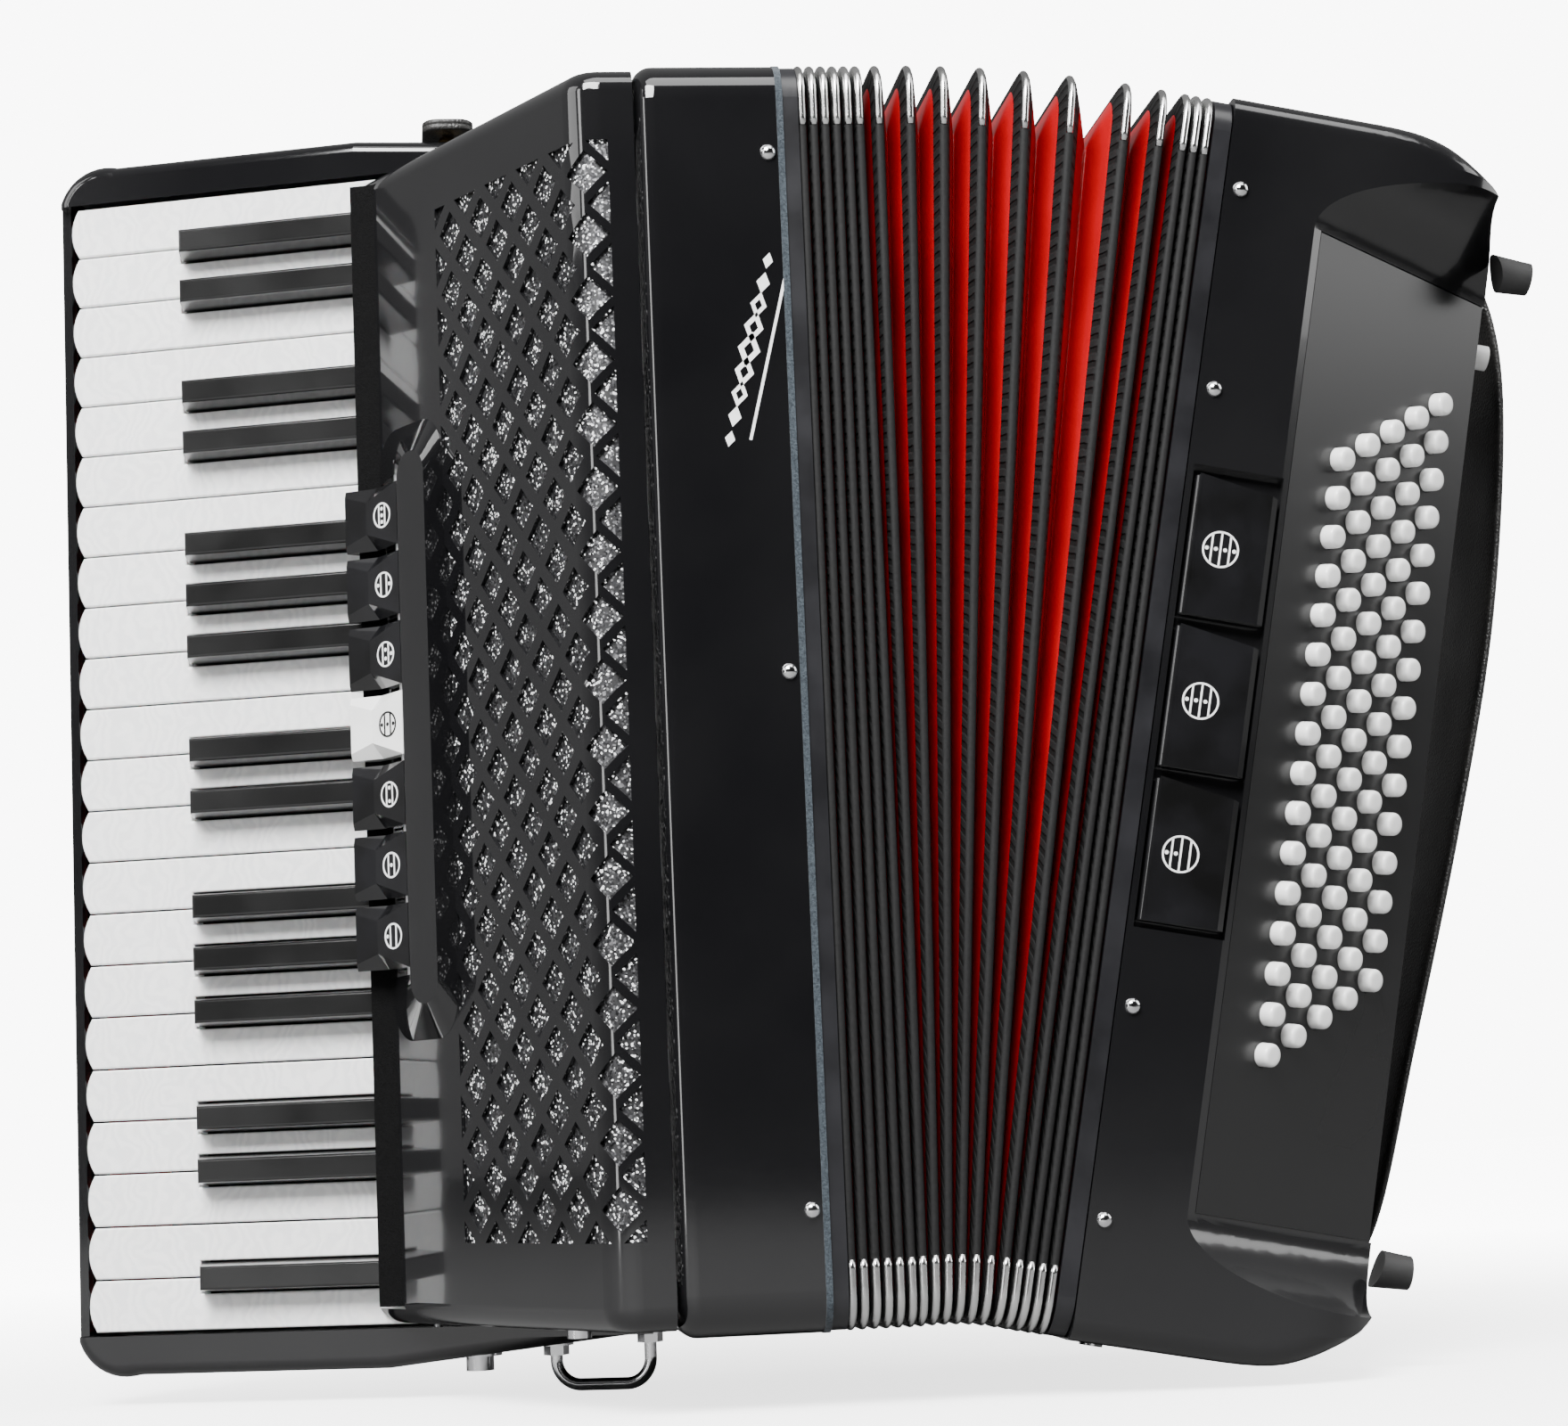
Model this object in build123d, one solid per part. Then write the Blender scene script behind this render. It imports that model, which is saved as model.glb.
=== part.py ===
from build123d import *
import os
from math import cos, radians, sin

# Piano accordion, 37 keys and 80 bass buttons, bellows part way open in a fan.
# Millimetres. X runs from the keyboard to the bass side, Y from the front to the back, Z up along the
# keyboard. The origin is the middle of the joint between the treble casing and the bellows.

# Body
body_height = 426.0
body_depth = 200.0
corner_radius = 14.0
wall = 5.0
casing_width = 48.0
pin_offset_z = 3.3
treble_pin_x = -3.4
treble_pin_heights = (-176.3, 0.0, 176.3)
pin_hole_radius = 1.05
pin_radius = 1.0

# Keyboard: its own frame has s along the keys to the free ends, t up from the white key tops
white_pitch = 19.2
white_count = 22
white_names = "GABCDEF"
black_after = "GACDF"
keyboard_length = white_count * white_pitch
key_tilt = radians(19.4)
felt_line_x = -141.7
felt_line_y = 42.0
keyboard_centre_z = 0.5
key_length = 114.4
key_rear = -34.0
key_gap = 0.6
key_thickness = 9.0
key_end_bulge = 2.8
black_length = 69.7
black_height = 11.0
black_half_base = 5.3
black_half_top = 4.2
rod_s = -18.0
rod_t = -4.5
rod_radius = 1.5
rod_clearance = 0.05
bed_top = -16.0
bed_bottom = -26.0
cap_inner = 212.3
cap_outer = 226.5

foot_seat = (-31, -12, 8, -1)
bracket_seats = ((-93.5, -16, 6.2), (-58.5, -16, 6.2))
stud_seat = (-33, -11, 5, 1)
cheek_fittings = [foot_seat, stud_seat] + [seat + (-1,) for seat in bracket_seats]

# Grille hood: its own frame has d along the slope from its foot, h outwards
hood_foot_x = -135.2
hood_foot_y = 24.9
hood_bend_x = -67.6
hood_edge_x = -48.3
hood_half_height = 210.0
hood_wall = 1.6
bend_radius = 14.0
grille_pitch = 21.5
grille_rows = 17
grille_columns = 10
grille_bottom = -181.0
grille_right_x = -57.2
diamond_half = 7.5

# Registers on the treble side
register_count = 7
register_pitch = 25.2
register_centre_z = 2.4
register_rod_d = 20.0
register_rod_h = 4.7
register_rod_radius = 1.0
register_half_width = 11.4
housing_height = 7.7

# Bellows: the ridge planes at both ends of the fan
ridge_thickness = 2.6
ridge_a_x = 28.6
ridge_b_x = -16.2
fold_depth = 21.0
gasket_thickness = 2.3
flange_end = 7.5

# Bass side: its own frame starts at the joint between the bellows and the bass casing
fan_angle = 10.8
bass_origin = (119.6, 0.0, -9.75)
bass_width = 112.0
board_angle = 36.0
board_corner_x = 35.9
board_corner_y = -97.7
board_width = 92.7
board_half_height = 168.0
board_centre_z = 2.0
board_thickness = 2.5
button_rows = ("counterbass", "fundamental", "major", "minor", "seventh")
buttons_per_row = 16
button_pitch = 13.75
button_row_step = 12.4
button_row_rise = 8.2
button_first_u = 23.7
button_first_z = -110.4
button_radius = 4.1
button_height = 9.0
stem_radius = 1.5
bass_pin_x = 5.5
bass_pin_heights = (-176.0, -105.4, 105.4, 176.0)
bass_register_centres = (55.0, 3.0, -49.0)
bass_register_height = 48.5

half_height = body_height / 2
front = -body_depth / 2
back = body_depth / 2

key_frame = Plane(
    origin=(felt_line_x, felt_line_y, keyboard_centre_z),
    x_dir=(-cos(key_tilt), sin(key_tilt), 0),
    z_dir=(-sin(key_tilt), -cos(key_tilt), 0),
).location
slope_run = hood_bend_x - hood_foot_x
slope_rise = front - hood_foot_y
slope_length = (slope_run**2 + slope_rise**2) ** 0.5
slope_x = slope_run / slope_length
slope_y = slope_rise / slope_length
slope_frame = Plane(
    origin=(hood_foot_x, hood_foot_y, 0), x_dir=(slope_x, slope_y, 0), z_dir=(slope_y, -slope_x, 0)
).location
bass_frame = Location(bass_origin, (0, fan_angle, 0))
board_frame = bass_frame * Plane(
    origin=(board_corner_x, board_corner_y, 0),
    x_dir=(cos(radians(board_angle)), sin(radians(board_angle)), 0),
    z_dir=(sin(radians(board_angle)), -cos(radians(board_angle)), 0),
).location


def block(x_low, x_high, y_low, y_high, z_low, z_high):
    """Box between two corners."""
    size = Box(x_high - x_low, y_high - y_low, z_high - z_low, align=(Align.MIN,) * 3)
    return Pos(x_low, y_low, z_low) * size


def prism_up(points, z_low, z_high):
    """Polygon in the XY plane, raised from z_low to z_high."""
    face = make_face(Polyline(*points, close=True))
    return Pos(0, 0, z_low) * extrude(face, z_high - z_low, dir=(0, 0, 1))


def prism_across(points, y_low, y_high):
    """Polygon of x and z values, carried from y_low to y_high."""
    face = Plane.XZ * make_face(Polyline(*points, close=True))
    return Pos(0, y_low, 0) * extrude(face, y_high - y_low, dir=(0, 1, 0))


def rod_z(x, y, z_low, z_high, radius):
    """Round bar along Z."""
    return Pos(x, y, (z_low + z_high) / 2) * Cylinder(radius, z_high - z_low)


def rod_y(x, z, y_low, y_high, radius):
    """Round bar along Y."""
    return Pos(x, (y_low + y_high) / 2, z) * Rot(90, 0, 0) * Cylinder(radius, y_high - y_low)


def rod_x(y, z, x_low, x_high, radius):
    """Round bar along X."""
    return Pos((x_low + x_high) / 2, y, z) * Rot(0, 90, 0) * Cylinder(radius, x_high - x_low)


def rounded_block(x_low, x_high, half_y, half_z, radius):
    """Box along X with its four long edges rounded."""
    body = block(x_low, x_high, -half_y, half_y, -half_z, half_z)
    return fillet(body.edges().filter_by(Axis.X), radius)


def ring(x_low, x_high, half_y, half_z, radius, thickness):
    """Rounded rectangular frame around the bellows, seen along X."""
    outer = rounded_block(x_low, x_high, half_y, half_z, radius)
    inner_radius = max(radius - thickness, 2)
    inner = rounded_block(x_low - 1, x_high + 1, half_y - thickness, half_z - thickness, inner_radius)
    return outer - inner


def key_point(s, t):
    """World x and y of a point given along and above the keyboard."""
    x = felt_line_x - s * cos(key_tilt) - t * sin(key_tilt)
    y = felt_line_y + s * sin(key_tilt) - t * cos(key_tilt)
    return (x, y)


def slope_point(d, h):
    """World x and y of a point given along and above the grille slope."""
    return (hood_foot_x + d * slope_x + h * slope_y, hood_foot_y + d * slope_y - h * slope_x)


def save(name, *shapes):
    """Write one sub-part, as all the solids of the shapes given."""
    solids = [solid for shape in shapes for solid in shape.solids()]
    export_step(Compound(solids), f"parts/{name}.step")


def pin_holes(x, heights, radius):
    """Bars through the front and back walls where the bellows pins go."""
    reach = back + 1
    bars = []
    for height in heights:
        for side in (-1, 1):
            low, high = sorted((side * (reach - 12), side * reach))
            bars.append(rod_y(x, height + pin_offset_z, low, high, radius))
    return bars


def bellows_pins(x, heights):
    """Domed pins that hold the bellows frame in the casing."""
    pins = []
    for height in heights:
        for side in (-1, 1):
            outside = side * back
            low, high = sorted((side * (back - 9), outside))
            z = height + pin_offset_z
            shank = rod_y(x, z, low, high, pin_radius)
            dome = Pos(x, outside, z) * scale(Sphere(2.7), by=(1, 0.75, 1))
            keep_low, keep_high = sorted((outside, side * (back + 5)))
            keep = block(x - 5, x + 5, keep_low, keep_high, z - 5, z + 5)
            pins.append(shank + (dome & keep))
    return pins


def treble_casing():
    body = block(-casing_width, 0, front, back, -half_height, half_height)
    body = fillet(body.edges().filter_by(Axis.X), corner_radius)
    rim = body.faces().sort_by(Axis.X)[0].edges()
    body = fillet(rim, 7)
    top_left = key_point(-90, bed_bottom - 0.3)
    top_right = key_point(17, bed_bottom - 0.3)
    wing = [top_left, top_right, (top_right[0] - 2, 88), (top_right[0] + 10, back), (-casing_width + 8, back)]
    wing.append((-casing_width + 8, top_left[1]))
    body = body + prism_up(wing, -half_height + 2, half_height - 2)
    inner = [
        (top_left[0], top_left[1] + 6),
        (top_right[0] + 4, top_right[1] + 4),
        (top_right[0] + 3, 84),
        (top_right[0] + 12, back - wall),
        (-casing_width + 8, back - wall),
        (-casing_width + 8, top_left[1] + 6),
    ]
    body = body - prism_up(inner, -half_height + 7, half_height - 7)
    cavity = rounded_block(-casing_width + wall, 1, back - wall, half_height - wall, corner_radius - wall)
    window = block(-casing_width - 1, -casing_width + wall + 1, -88, 25, -196, 196)
    body = body - cavity - window
    return body - pin_holes(treble_pin_x, treble_pin_heights, pin_hole_radius)


def treble_soundboard():
    plate = block(-casing_width + 0.2, -casing_width + wall, -87.8, 24.8, -195.8, 195.8)
    flange = block(-casing_width + wall, -casing_width + wall + 3, -93, 30, -203, 203)
    board = plate + flange
    slots = []
    for centre, _, row_y in pallet_places():
        z = keyboard_centre_z - centre
        slots.append(block(-casing_width - 1, -casing_width + wall + 4, row_y - 9, row_y + 9, z - 3, z + 3))
    return board - slots


def pallet_places():
    """Place along the keyboard, colour of the key and row of each pallet."""
    places = []
    for index in range(white_count):
        centre = (index + 0.5) * white_pitch - keyboard_length / 2
        places.append((centre, "white", -36.0))
        if has_black(index):
            places.append((centre + white_pitch / 2, "black", -72.0))
    return places


def has_black(index):
    """Whether a black key follows white key number index, counted from the low end."""
    return white_names[index % 7] in black_after and index < white_count - 1


def white_key(index):
    centre = (index + 0.5) * white_pitch - keyboard_length / 2
    half = (white_pitch - key_gap) / 2
    notch_s = black_length + 0.8
    notch = white_pitch / 2 - black_half_base - 0.6
    low = -half
    high = half
    points = []
    if index > 0 and has_black(index - 1):
        points += [(key_rear, -notch), (notch_s, -notch), (notch_s, low)]
    else:
        points += [(key_rear, low)]
    points.append((key_length - key_end_bulge, low))
    end_line = ThreePointArc(
        (key_length - key_end_bulge, low), (key_length, 0), (key_length - key_end_bulge, high)
    )
    back_points = [(key_length - key_end_bulge, high)]
    if has_black(index):
        back_points += [(notch_s, high), (notch_s, notch), (key_rear, notch)]
    else:
        back_points += [(key_rear, high)]
    back_points.append(points[0])
    outline = make_face([Polyline(*points), end_line, Polyline(*back_points)])
    body = Pos(0, 0, -key_thickness) * extrude(outline, key_thickness, dir=(0, 0, 1))
    body = fillet(body.faces().sort_by(Axis.Z)[-1].edges(), 0.8)
    body = body - key_rod_hole()
    return key_frame * Pos(0, centre, 0) * body


def black_key(index):
    centre = (index + 1) * white_pitch - keyboard_length / 2
    section = [
        (-black_half_base, -key_thickness + 0.4),
        (black_half_base, -key_thickness + 0.4),
        (black_half_base, 0),
        (black_half_top, black_height),
        (-black_half_top, black_height),
        (-black_half_base, 0),
    ]
    face = Plane.YZ * make_face(Polyline(*section, close=True))
    body = Pos(key_rear, 0, 0) * extrude(face, black_length - key_rear, dir=(1, 0, 0))
    nose = [(black_length, -20), (black_length, 0), (black_length - 3.5, 12), (black_length + 9, 12)]
    nose.append((black_length + 9, -20))
    body = body - prism_across(nose, -10, 10)
    body = fillet(body.faces().sort_by(Axis.Z)[-1].edges(), 1.0)
    body = body - key_rod_hole()
    return key_frame * Pos(0, centre, 0) * body


def key_rod_hole():
    """Hole for the key rod, in the frame of one key."""
    return rod_y(rod_s, rod_t, -12, 12, rod_radius + rod_clearance)


def key_lever(centre, row_y):
    """Aluminium arm from the rear of a key to its pallet on the soundboard."""
    z = keyboard_centre_z - centre
    seat = -casing_width - 0.3
    pallet = block(seat - 5.2, seat, row_y - 12, row_y + 12, z - 5, z + 5)
    low = key_point(key_rear, -7)
    high = key_point(key_rear, -2)
    arm = [low, high, (seat - 5.2, row_y - 2.5), (seat - 5.2, row_y + 2.5)]
    return prism_up(arm, z - 1.2, z + 1.2) + pallet


def make_keys():
    """One sub-part for each note name, holding that key of every octave with its lever and pallet."""
    for first, letter in enumerate(white_names):
        whites = []
        blacks = []
        for index in range(first, white_count, 7):
            centre = (index + 0.5) * white_pitch - keyboard_length / 2
            whites.append(white_key(index))
            whites.append(key_lever(centre, -36.0))
            if has_black(index):
                blacks.append(black_key(index))
                blacks.append(key_lever(centre + white_pitch / 2, -72.0))
        save(f"keys_{letter.lower()}", *whites)
        if blacks:
            save(f"keys_{letter.lower()}_sharp", *blacks)


def cheek_height(s):
    """Outside height of the end cheeks, which get thinner towards the casing."""
    return cap_outer + min(s, 0) / 92 * (cap_outer - cap_inner - 4.5)


def cheek_seat(s, t, radius, side):
    """World place of the middle of a flat milled into a cheek for a fitting."""
    x, y = key_point(s, t)
    return (x, y, keyboard_centre_z + side * cheek_height(s - radius - 0.3))


def cheek_flats():
    """Milled flats for the stub feet, the strap loop and the strap stud."""
    flats = []
    for s, t, radius, side in cheek_fittings:
        x, y, z = cheek_seat(s, t, radius, side)
        low, high = sorted((z, z + side * 12))
        flats.append(rod_z(x, y, low, high, radius + 0.2))
    return flats


def keyboard_cap(side):
    """Rounded end cheek of the keyboard, in the keyboard's own frame."""
    start = (119.3, side * cap_inner)
    corner = (119.3, side * (cap_inner + 2))
    middle = (112.5, side * (cap_inner + 11.2))
    end = (96.0, side * cap_outer)
    rest = [end, (0, side * cap_outer), (-92, side * (cap_inner + 4.5)), (-100, side * (cap_inner + 4.5))]
    rest += [(-100, side * cap_inner), start]
    face = make_face([Line(start, corner), ThreePointArc(corner, middle, end), Polyline(*rest)])
    cheek = Pos(0, 0, bed_bottom) * extrude(face, 1.5 - bed_bottom, dir=(0, 0, 1))
    edges = cheek.faces().sort_by(Axis.Z)[-1].edges()
    outer = [edge for edge in edges if abs(edge.center().Y) > cap_inner + 0.5 and edge.center().X > -95]
    return fillet(outer, 4.5)


def keyboard_frame():
    bed = block(-100, 118, -cap_inner, cap_inner, bed_bottom, bed_top)
    lip = block(115.8, 119.3, -cap_inner, cap_inner, bed_bottom, -3)
    frame = bed + lip + keyboard_cap(1) + keyboard_cap(-1)
    frame = frame - rod_y(rod_s, rod_t, -cap_inner - 8.5, cap_inner + 8.5, rod_radius)
    frame = key_frame * frame
    frame = frame - cheek_flats()
    return frame & block(-300, -casing_width - 0.4, -200, 200, -300, 300)


def pivot_rods():
    key_rod = key_frame * rod_y(rod_s, rod_t, -cap_inner - 8, cap_inner + 8, rod_radius)
    reach = register_count * register_pitch / 2 + 7
    rod = Pos(register_rod_d, register_centre_z, register_rod_h) * Rot(90, 0, 0)
    rod = slope_frame * rod * Cylinder(register_rod_radius, 2 * reach)
    return key_rod, rod


def key_bed_felt():
    return key_frame * block(88, 112, -cap_inner + 1, cap_inner - 1, bed_top, bed_top + 1)


def key_cover_felt():
    return key_frame * block(-14, -2.2, -205, 204, black_height + 0.3, black_height + 1.6)


def hood_corner(inset):
    """Where the slope and the front of the hood meet, inset from the outside."""
    start = slope_point(0, -inset)
    travel = (front + inset - start[1]) / slope_y
    return (start[0] + travel * slope_x, front + inset)


def hood_body(inset, radius, end_radius, overrun):
    """Solid block with the hood's outside shape, inset from it."""
    foot = slope_point(-18.6 - overrun, -inset)
    seam = hood_edge_x + overrun
    floor = key_point(-(seam - felt_line_x) / cos(key_tilt), 1.5 - overrun)
    points = [foot, hood_corner(inset), (seam, front + inset), (seam, floor[1])]
    face = make_face(Polyline(*points, close=True))
    bend = face.vertices().sort_by_distance(hood_corner(inset) + (0,))[0]
    face = fillet(bend, radius)
    half = hood_half_height - inset
    body = Pos(0, 0, -half) * extrude(face, 2 * half, dir=(0, 0, 1))
    ends = []
    for edge in body.edges():
        middle = edge.position_at(0.5)
        above_floor = (middle.X - felt_line_x) * -sin(key_tilt) + (middle.Y - felt_line_y) * -cos(key_tilt)
        if abs(abs(middle.Z) - half) < 0.01 and above_floor > 4 and middle.X < seam - 0.5:
            ends.append(edge)
    return fillet(ends, end_radius)


def diamond(place, left, right, down, up):
    """Bar with a diamond section, or the part of it on the sides asked for."""
    size = diamond_half
    points = []
    if right:
        points.append((size, 0))
    if up:
        points.append((0, size))
    if left:
        points.append((-size, 0))
    if down:
        points.append((0, -size))
    if len(points) == 2:
        points.append((0, 0))
    face = make_face(Polyline(*points, close=True))
    return place * Pos(0, 0, -8) * extrude(face, 16, dir=(0, 0, 1))


def grille_place(column):
    """Frame on the hood's surface for one column of the pattern, local y up."""
    along = column * grille_pitch / 2
    to_corner = hood_bend_x - grille_right_x
    if column == 0:
        return Plane(origin=(grille_right_x, front, 0), x_dir=(1, 0, 0), z_dir=(0, -1, 0)).location
    if column == 1:
        bend_x = 1 + slope_x
        bend_y = slope_y
        length = (bend_x**2 + bend_y**2) ** 0.5
        tangent = (bend_x / length, bend_y / length, 0)
        normal = (bend_y / length, -bend_x / length, 0)
        origin = (hood_bend_x + 2.2, front + 1.4, 0)
        return Plane(origin=origin, x_dir=tangent, z_dir=normal).location
    d = slope_length - (along + to_corner)
    return slope_frame * Pos(d, 0, 0)


def grille_holes():
    holes = []
    for column in range(grille_columns + 1):
        shift = column % 2 * grille_pitch / 2
        rows = grille_rows if column % 2 else grille_rows + 1
        place = grille_place(column)
        for row in range(rows):
            z = grille_bottom + shift + row * grille_pitch
            down = column % 2 == 1 or row > 0
            up = column % 2 == 1 or row < grille_rows
            left = column < grille_columns
            right = column > 0
            holes.append(diamond(Pos(0, 0, z) * place, left, right, down, up))
    return holes


def grille_hood():
    outer = hood_body(0, bend_radius, 8, 0)
    inner = hood_body(hood_wall, bend_radius - hood_wall, 5.5, 8)
    foot = key_frame * block(-45, 12, -205, 205, -12, black_height + 3)
    return outer - inner - foot - grille_holes()


def grille_cloth():
    outside = hood_wall + 0.1
    inside = hood_wall + 0.9
    points = [
        slope_point(34, -outside),
        hood_corner(outside),
        (-52, front + outside),
        (-52, front + inside),
        hood_corner(inside),
        slope_point(34, -inside),
    ]
    face = make_face(Polyline(*points, close=True))
    outer_bend = face.vertices().sort_by_distance(hood_corner(outside) + (0,))[0]
    face = fillet(outer_bend, bend_radius - outside)
    inner_bend = face.vertices().sort_by_distance(hood_corner(inside) + (0,))[0]
    face = fillet(inner_bend, bend_radius - inside)
    return Pos(0, 0, -196) * extrude(face, 392, dir=(0, 0, 1))


def register_housing():
    """Raised strip behind the tabs, sloping down to the hood at the left and at both ends."""
    centre = register_centre_z
    base = slope_frame * Pos(21.9, 0.25, 0.05) * RectangleRounded(45.8, 221.1, 14)
    top = slope_frame * Pos(35.05, 0, housing_height) * RectangleRounded(19.5, 196, 9)
    body = loft([base, top])
    reach = register_count * register_pitch / 2 + 1.5
    pocket = slope_frame * block(-10, 25.2, centre - reach, centre + reach, -0.5, 14)
    hole = Pos(register_rod_d, centre, register_rod_h) * Rot(90, 0, 0)
    hole = slope_frame * hole * Cylinder(register_rod_radius, 2 * (reach + 6))
    return body - pocket - hole


def bevel(corner, towards, low, high):
    """Wedge beyond the plane through a corner, kept between two values of x."""
    align = (Align.CENTER, Align.CENTER, Align.MIN)
    side = Plane(origin=corner, z_dir=towards).location * Box(80, 80, 30, align=align)
    return side & block(low, high, -20, 20, -5, 30)


def treble_register(index):
    """Rocker tab cut like a gem, numbered from the low end of the keyboard."""
    centre = register_centre_z + ((register_count - 1) / 2 - index) * register_pitch
    section = [(23.5, 2.2), (23.5, 7.0), (7.1, 10.4), (-2.6, 13.8), (-8.4, 8.65), (-1.5, 2.5)]
    width = register_half_width
    body = prism_across(section, -width, width)
    outline = extrude(Pos(11.6, 0, -5) * RectangleRounded(40, 2 * width, 4), 25, dir=(0, 0, 1))
    body = body & outline
    for side in (-1, 1):
        corner = (7.1, side * 5.9, 10.4)
        body = body - bevel(corner, (-5.5, side * 72.2, 90.2), 7.1, 30)
        body = body - bevel(corner, (32.3, side * 42.7, 53.4), -12, 7.1)
    body = body - rod_y(register_rod_d, register_rod_h, -13, 13, register_rod_radius + rod_clearance)
    return slope_frame * Pos(0, centre, 0) * body


def treble_reed_blocks():
    blocks = []
    left = -casing_width + wall + 3.2
    for row_y in (-72.0, -36.0):
        for side in (-1, 1):
            z_low, z_high = sorted((side * 4.0, side * 196.0))
            blocks.append(block(left, -12, row_y - 8, row_y + 8, z_low, z_high))
            for number in range(14):
                z = side * (16 + number * 13.2)
                for face in (-1, 1):
                    y_low, y_high = sorted((row_y + face * 8.0, row_y + face * 9.4))
                    blocks.append(block(left + 2, -14, y_low, y_high, z - 5.5, z + 5.5))
    return blocks


def treble_feet():
    """Stub foot under the lower cheek and the two thumb screws of the hood."""
    x, y, z = cheek_seat(*foot_seat)
    pieces = [rod_z(x, y, z - 1.2, z, 8) + rod_z(x, y, z - 6.4, z - 1.2, 5)]
    for side in (-1, 1):
        low, high = sorted((side * hood_half_height, side * (hood_half_height + 3.6)))
        pieces.append(rod_z(-77, -42, low, high, 4.2))
    return pieces


def strap_bracket():
    """Steel loop for the lower end of a shoulder strap, with its nuts and washers."""
    first, second = (cheek_seat(*seat, -1) for seat in bracket_seats)
    bottom = first[2] - 19
    path = FilletPolyline(first, first[:2] + (bottom,), second[:2] + (bottom,), second, radius=9)
    loop = sweep(Plane(origin=path @ 0, z_dir=path % 0) * Circle(2.2), path=path)
    for x, y, z in (first, second):
        loop = loop + rod_z(x, y, z - 1.2, z, 6.2)
        loop = loop + Pos(x, y, z - 4.6) * extrude(RegularPolygon(4.6, 6), 3.4)
    return loop


def upper_strap_tab():
    """Folded leather end of the shoulder strap on its stud, on the upper cheek."""
    x, y, top = cheek_seat(*stud_seat)
    leather = block(x - 9.5, x + 9.5, y - 11, y + 44, top + 5, top + 9)
    leather = fillet(leather.edges().filter_by(Axis.Z), 6)
    return rod_z(x, y, top, top + 5, 4) + leather


def bellows_straps():
    """Two short leather closing straps, folded back on the treble casing, with their snap studs."""
    pieces = []
    for side in (-1, 1):
        near = side * (half_height + 0.05)
        far = side * (half_height + 2.6)
        low, high = sorted((near, far))
        band = block(-34, -10, -16, 60, low, high)
        low, high = sorted((far, side * (half_height + 4.8)))
        pieces.append(band + rod_z(-22, -4, low, high, 5) + rod_z(-22, 50, low, high, 4))
    return pieces


def bellows_frame(x_low, x_high, tongue_low, tongue_high, pin_x, heights):
    """Wooden frame of the bellows: a flange, and a tongue that sits inside the casing."""
    flange = ring(x_low, x_high, back - 0.5, half_height - 0.5, corner_radius - 0.5, 16)
    half_y = back - wall - 0.2
    half_z = half_height - wall - 0.2
    tongue = ring(tongue_low, tongue_high, half_y, half_z, corner_radius - wall, 10.3)
    return flange + tongue - pin_holes(pin_x, heights, pin_radius)


def straight_folds(x_low, x_high):
    return ring(x_low, x_high, back - 1.5, half_height - 1.5, 8, fold_depth)


def middle_folds():
    """Wedge-shaped ring of open folds between the two inner ridges."""
    x_low = ridge_a_x + ridge_thickness / 2 + 0.2
    reach = half_height - 1.5
    outer = wedge_body(x_low, reach, back - 1.5, 0)
    inner = wedge_body(x_low, reach - fold_depth, back - 1.5 - fold_depth, 3)
    return outer - inner


def wedge_body(x_low, half_z, half_y, overrun):
    """Block between the upright ridge and the tilted one."""
    tilted = bass_frame * Pos(ridge_b_x - ridge_thickness / 2 - 0.2 + overrun, 0, 0)
    low = (tilted * Pos(0, 0, -half_z)).position
    high = (tilted * Pos(0, 0, half_z)).position
    points = [(x_low - overrun, -half_z), (low.X, low.Z), (high.X, high.Z), (x_low - overrun, half_z)]
    return prism_across(points, -half_y, half_y)


def make_bellows():
    gasket = ring(0.05, gasket_thickness, back + 0.2, half_height + 0.2, corner_radius, 5)
    save("bellows_gasket", gasket)
    frame = bellows_frame(
        gasket_thickness + 0.05, flange_end, -9, gasket_thickness + 0.05, treble_pin_x, treble_pin_heights
    )
    save("bellows_frame_treble", frame)
    save("bellows_pins_treble", *bellows_pins(treble_pin_x, treble_pin_heights))
    half = ridge_thickness / 2
    save("bellows_folds_treble", straight_folds(flange_end + 0.2, ridge_a_x - half - 0.2))
    ridge = ring(ridge_a_x - half, ridge_a_x + half, back - 1, half_height - 1, 12, fold_depth)
    save("bellows_ridge_a", ridge)
    save("bellows_folds_middle", middle_folds())
    ridge = ring(ridge_b_x - half, ridge_b_x + half, back - 1, half_height - 1, 12, fold_depth)
    save("bellows_ridge_b", bass_frame * ridge)
    save("bellows_folds_bass", bass_frame * straight_folds(ridge_b_x + half + 0.2, -6.6))
    frame = bellows_frame(-6.4, -0.4, -0.4, 9, bass_pin_x, bass_pin_heights)
    save("bellows_frame_bass", bass_frame * frame)
    pins = bellows_pins(bass_pin_x, bass_pin_heights)
    save("bellows_pins_bass", *[bass_frame * pin for pin in pins])


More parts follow.
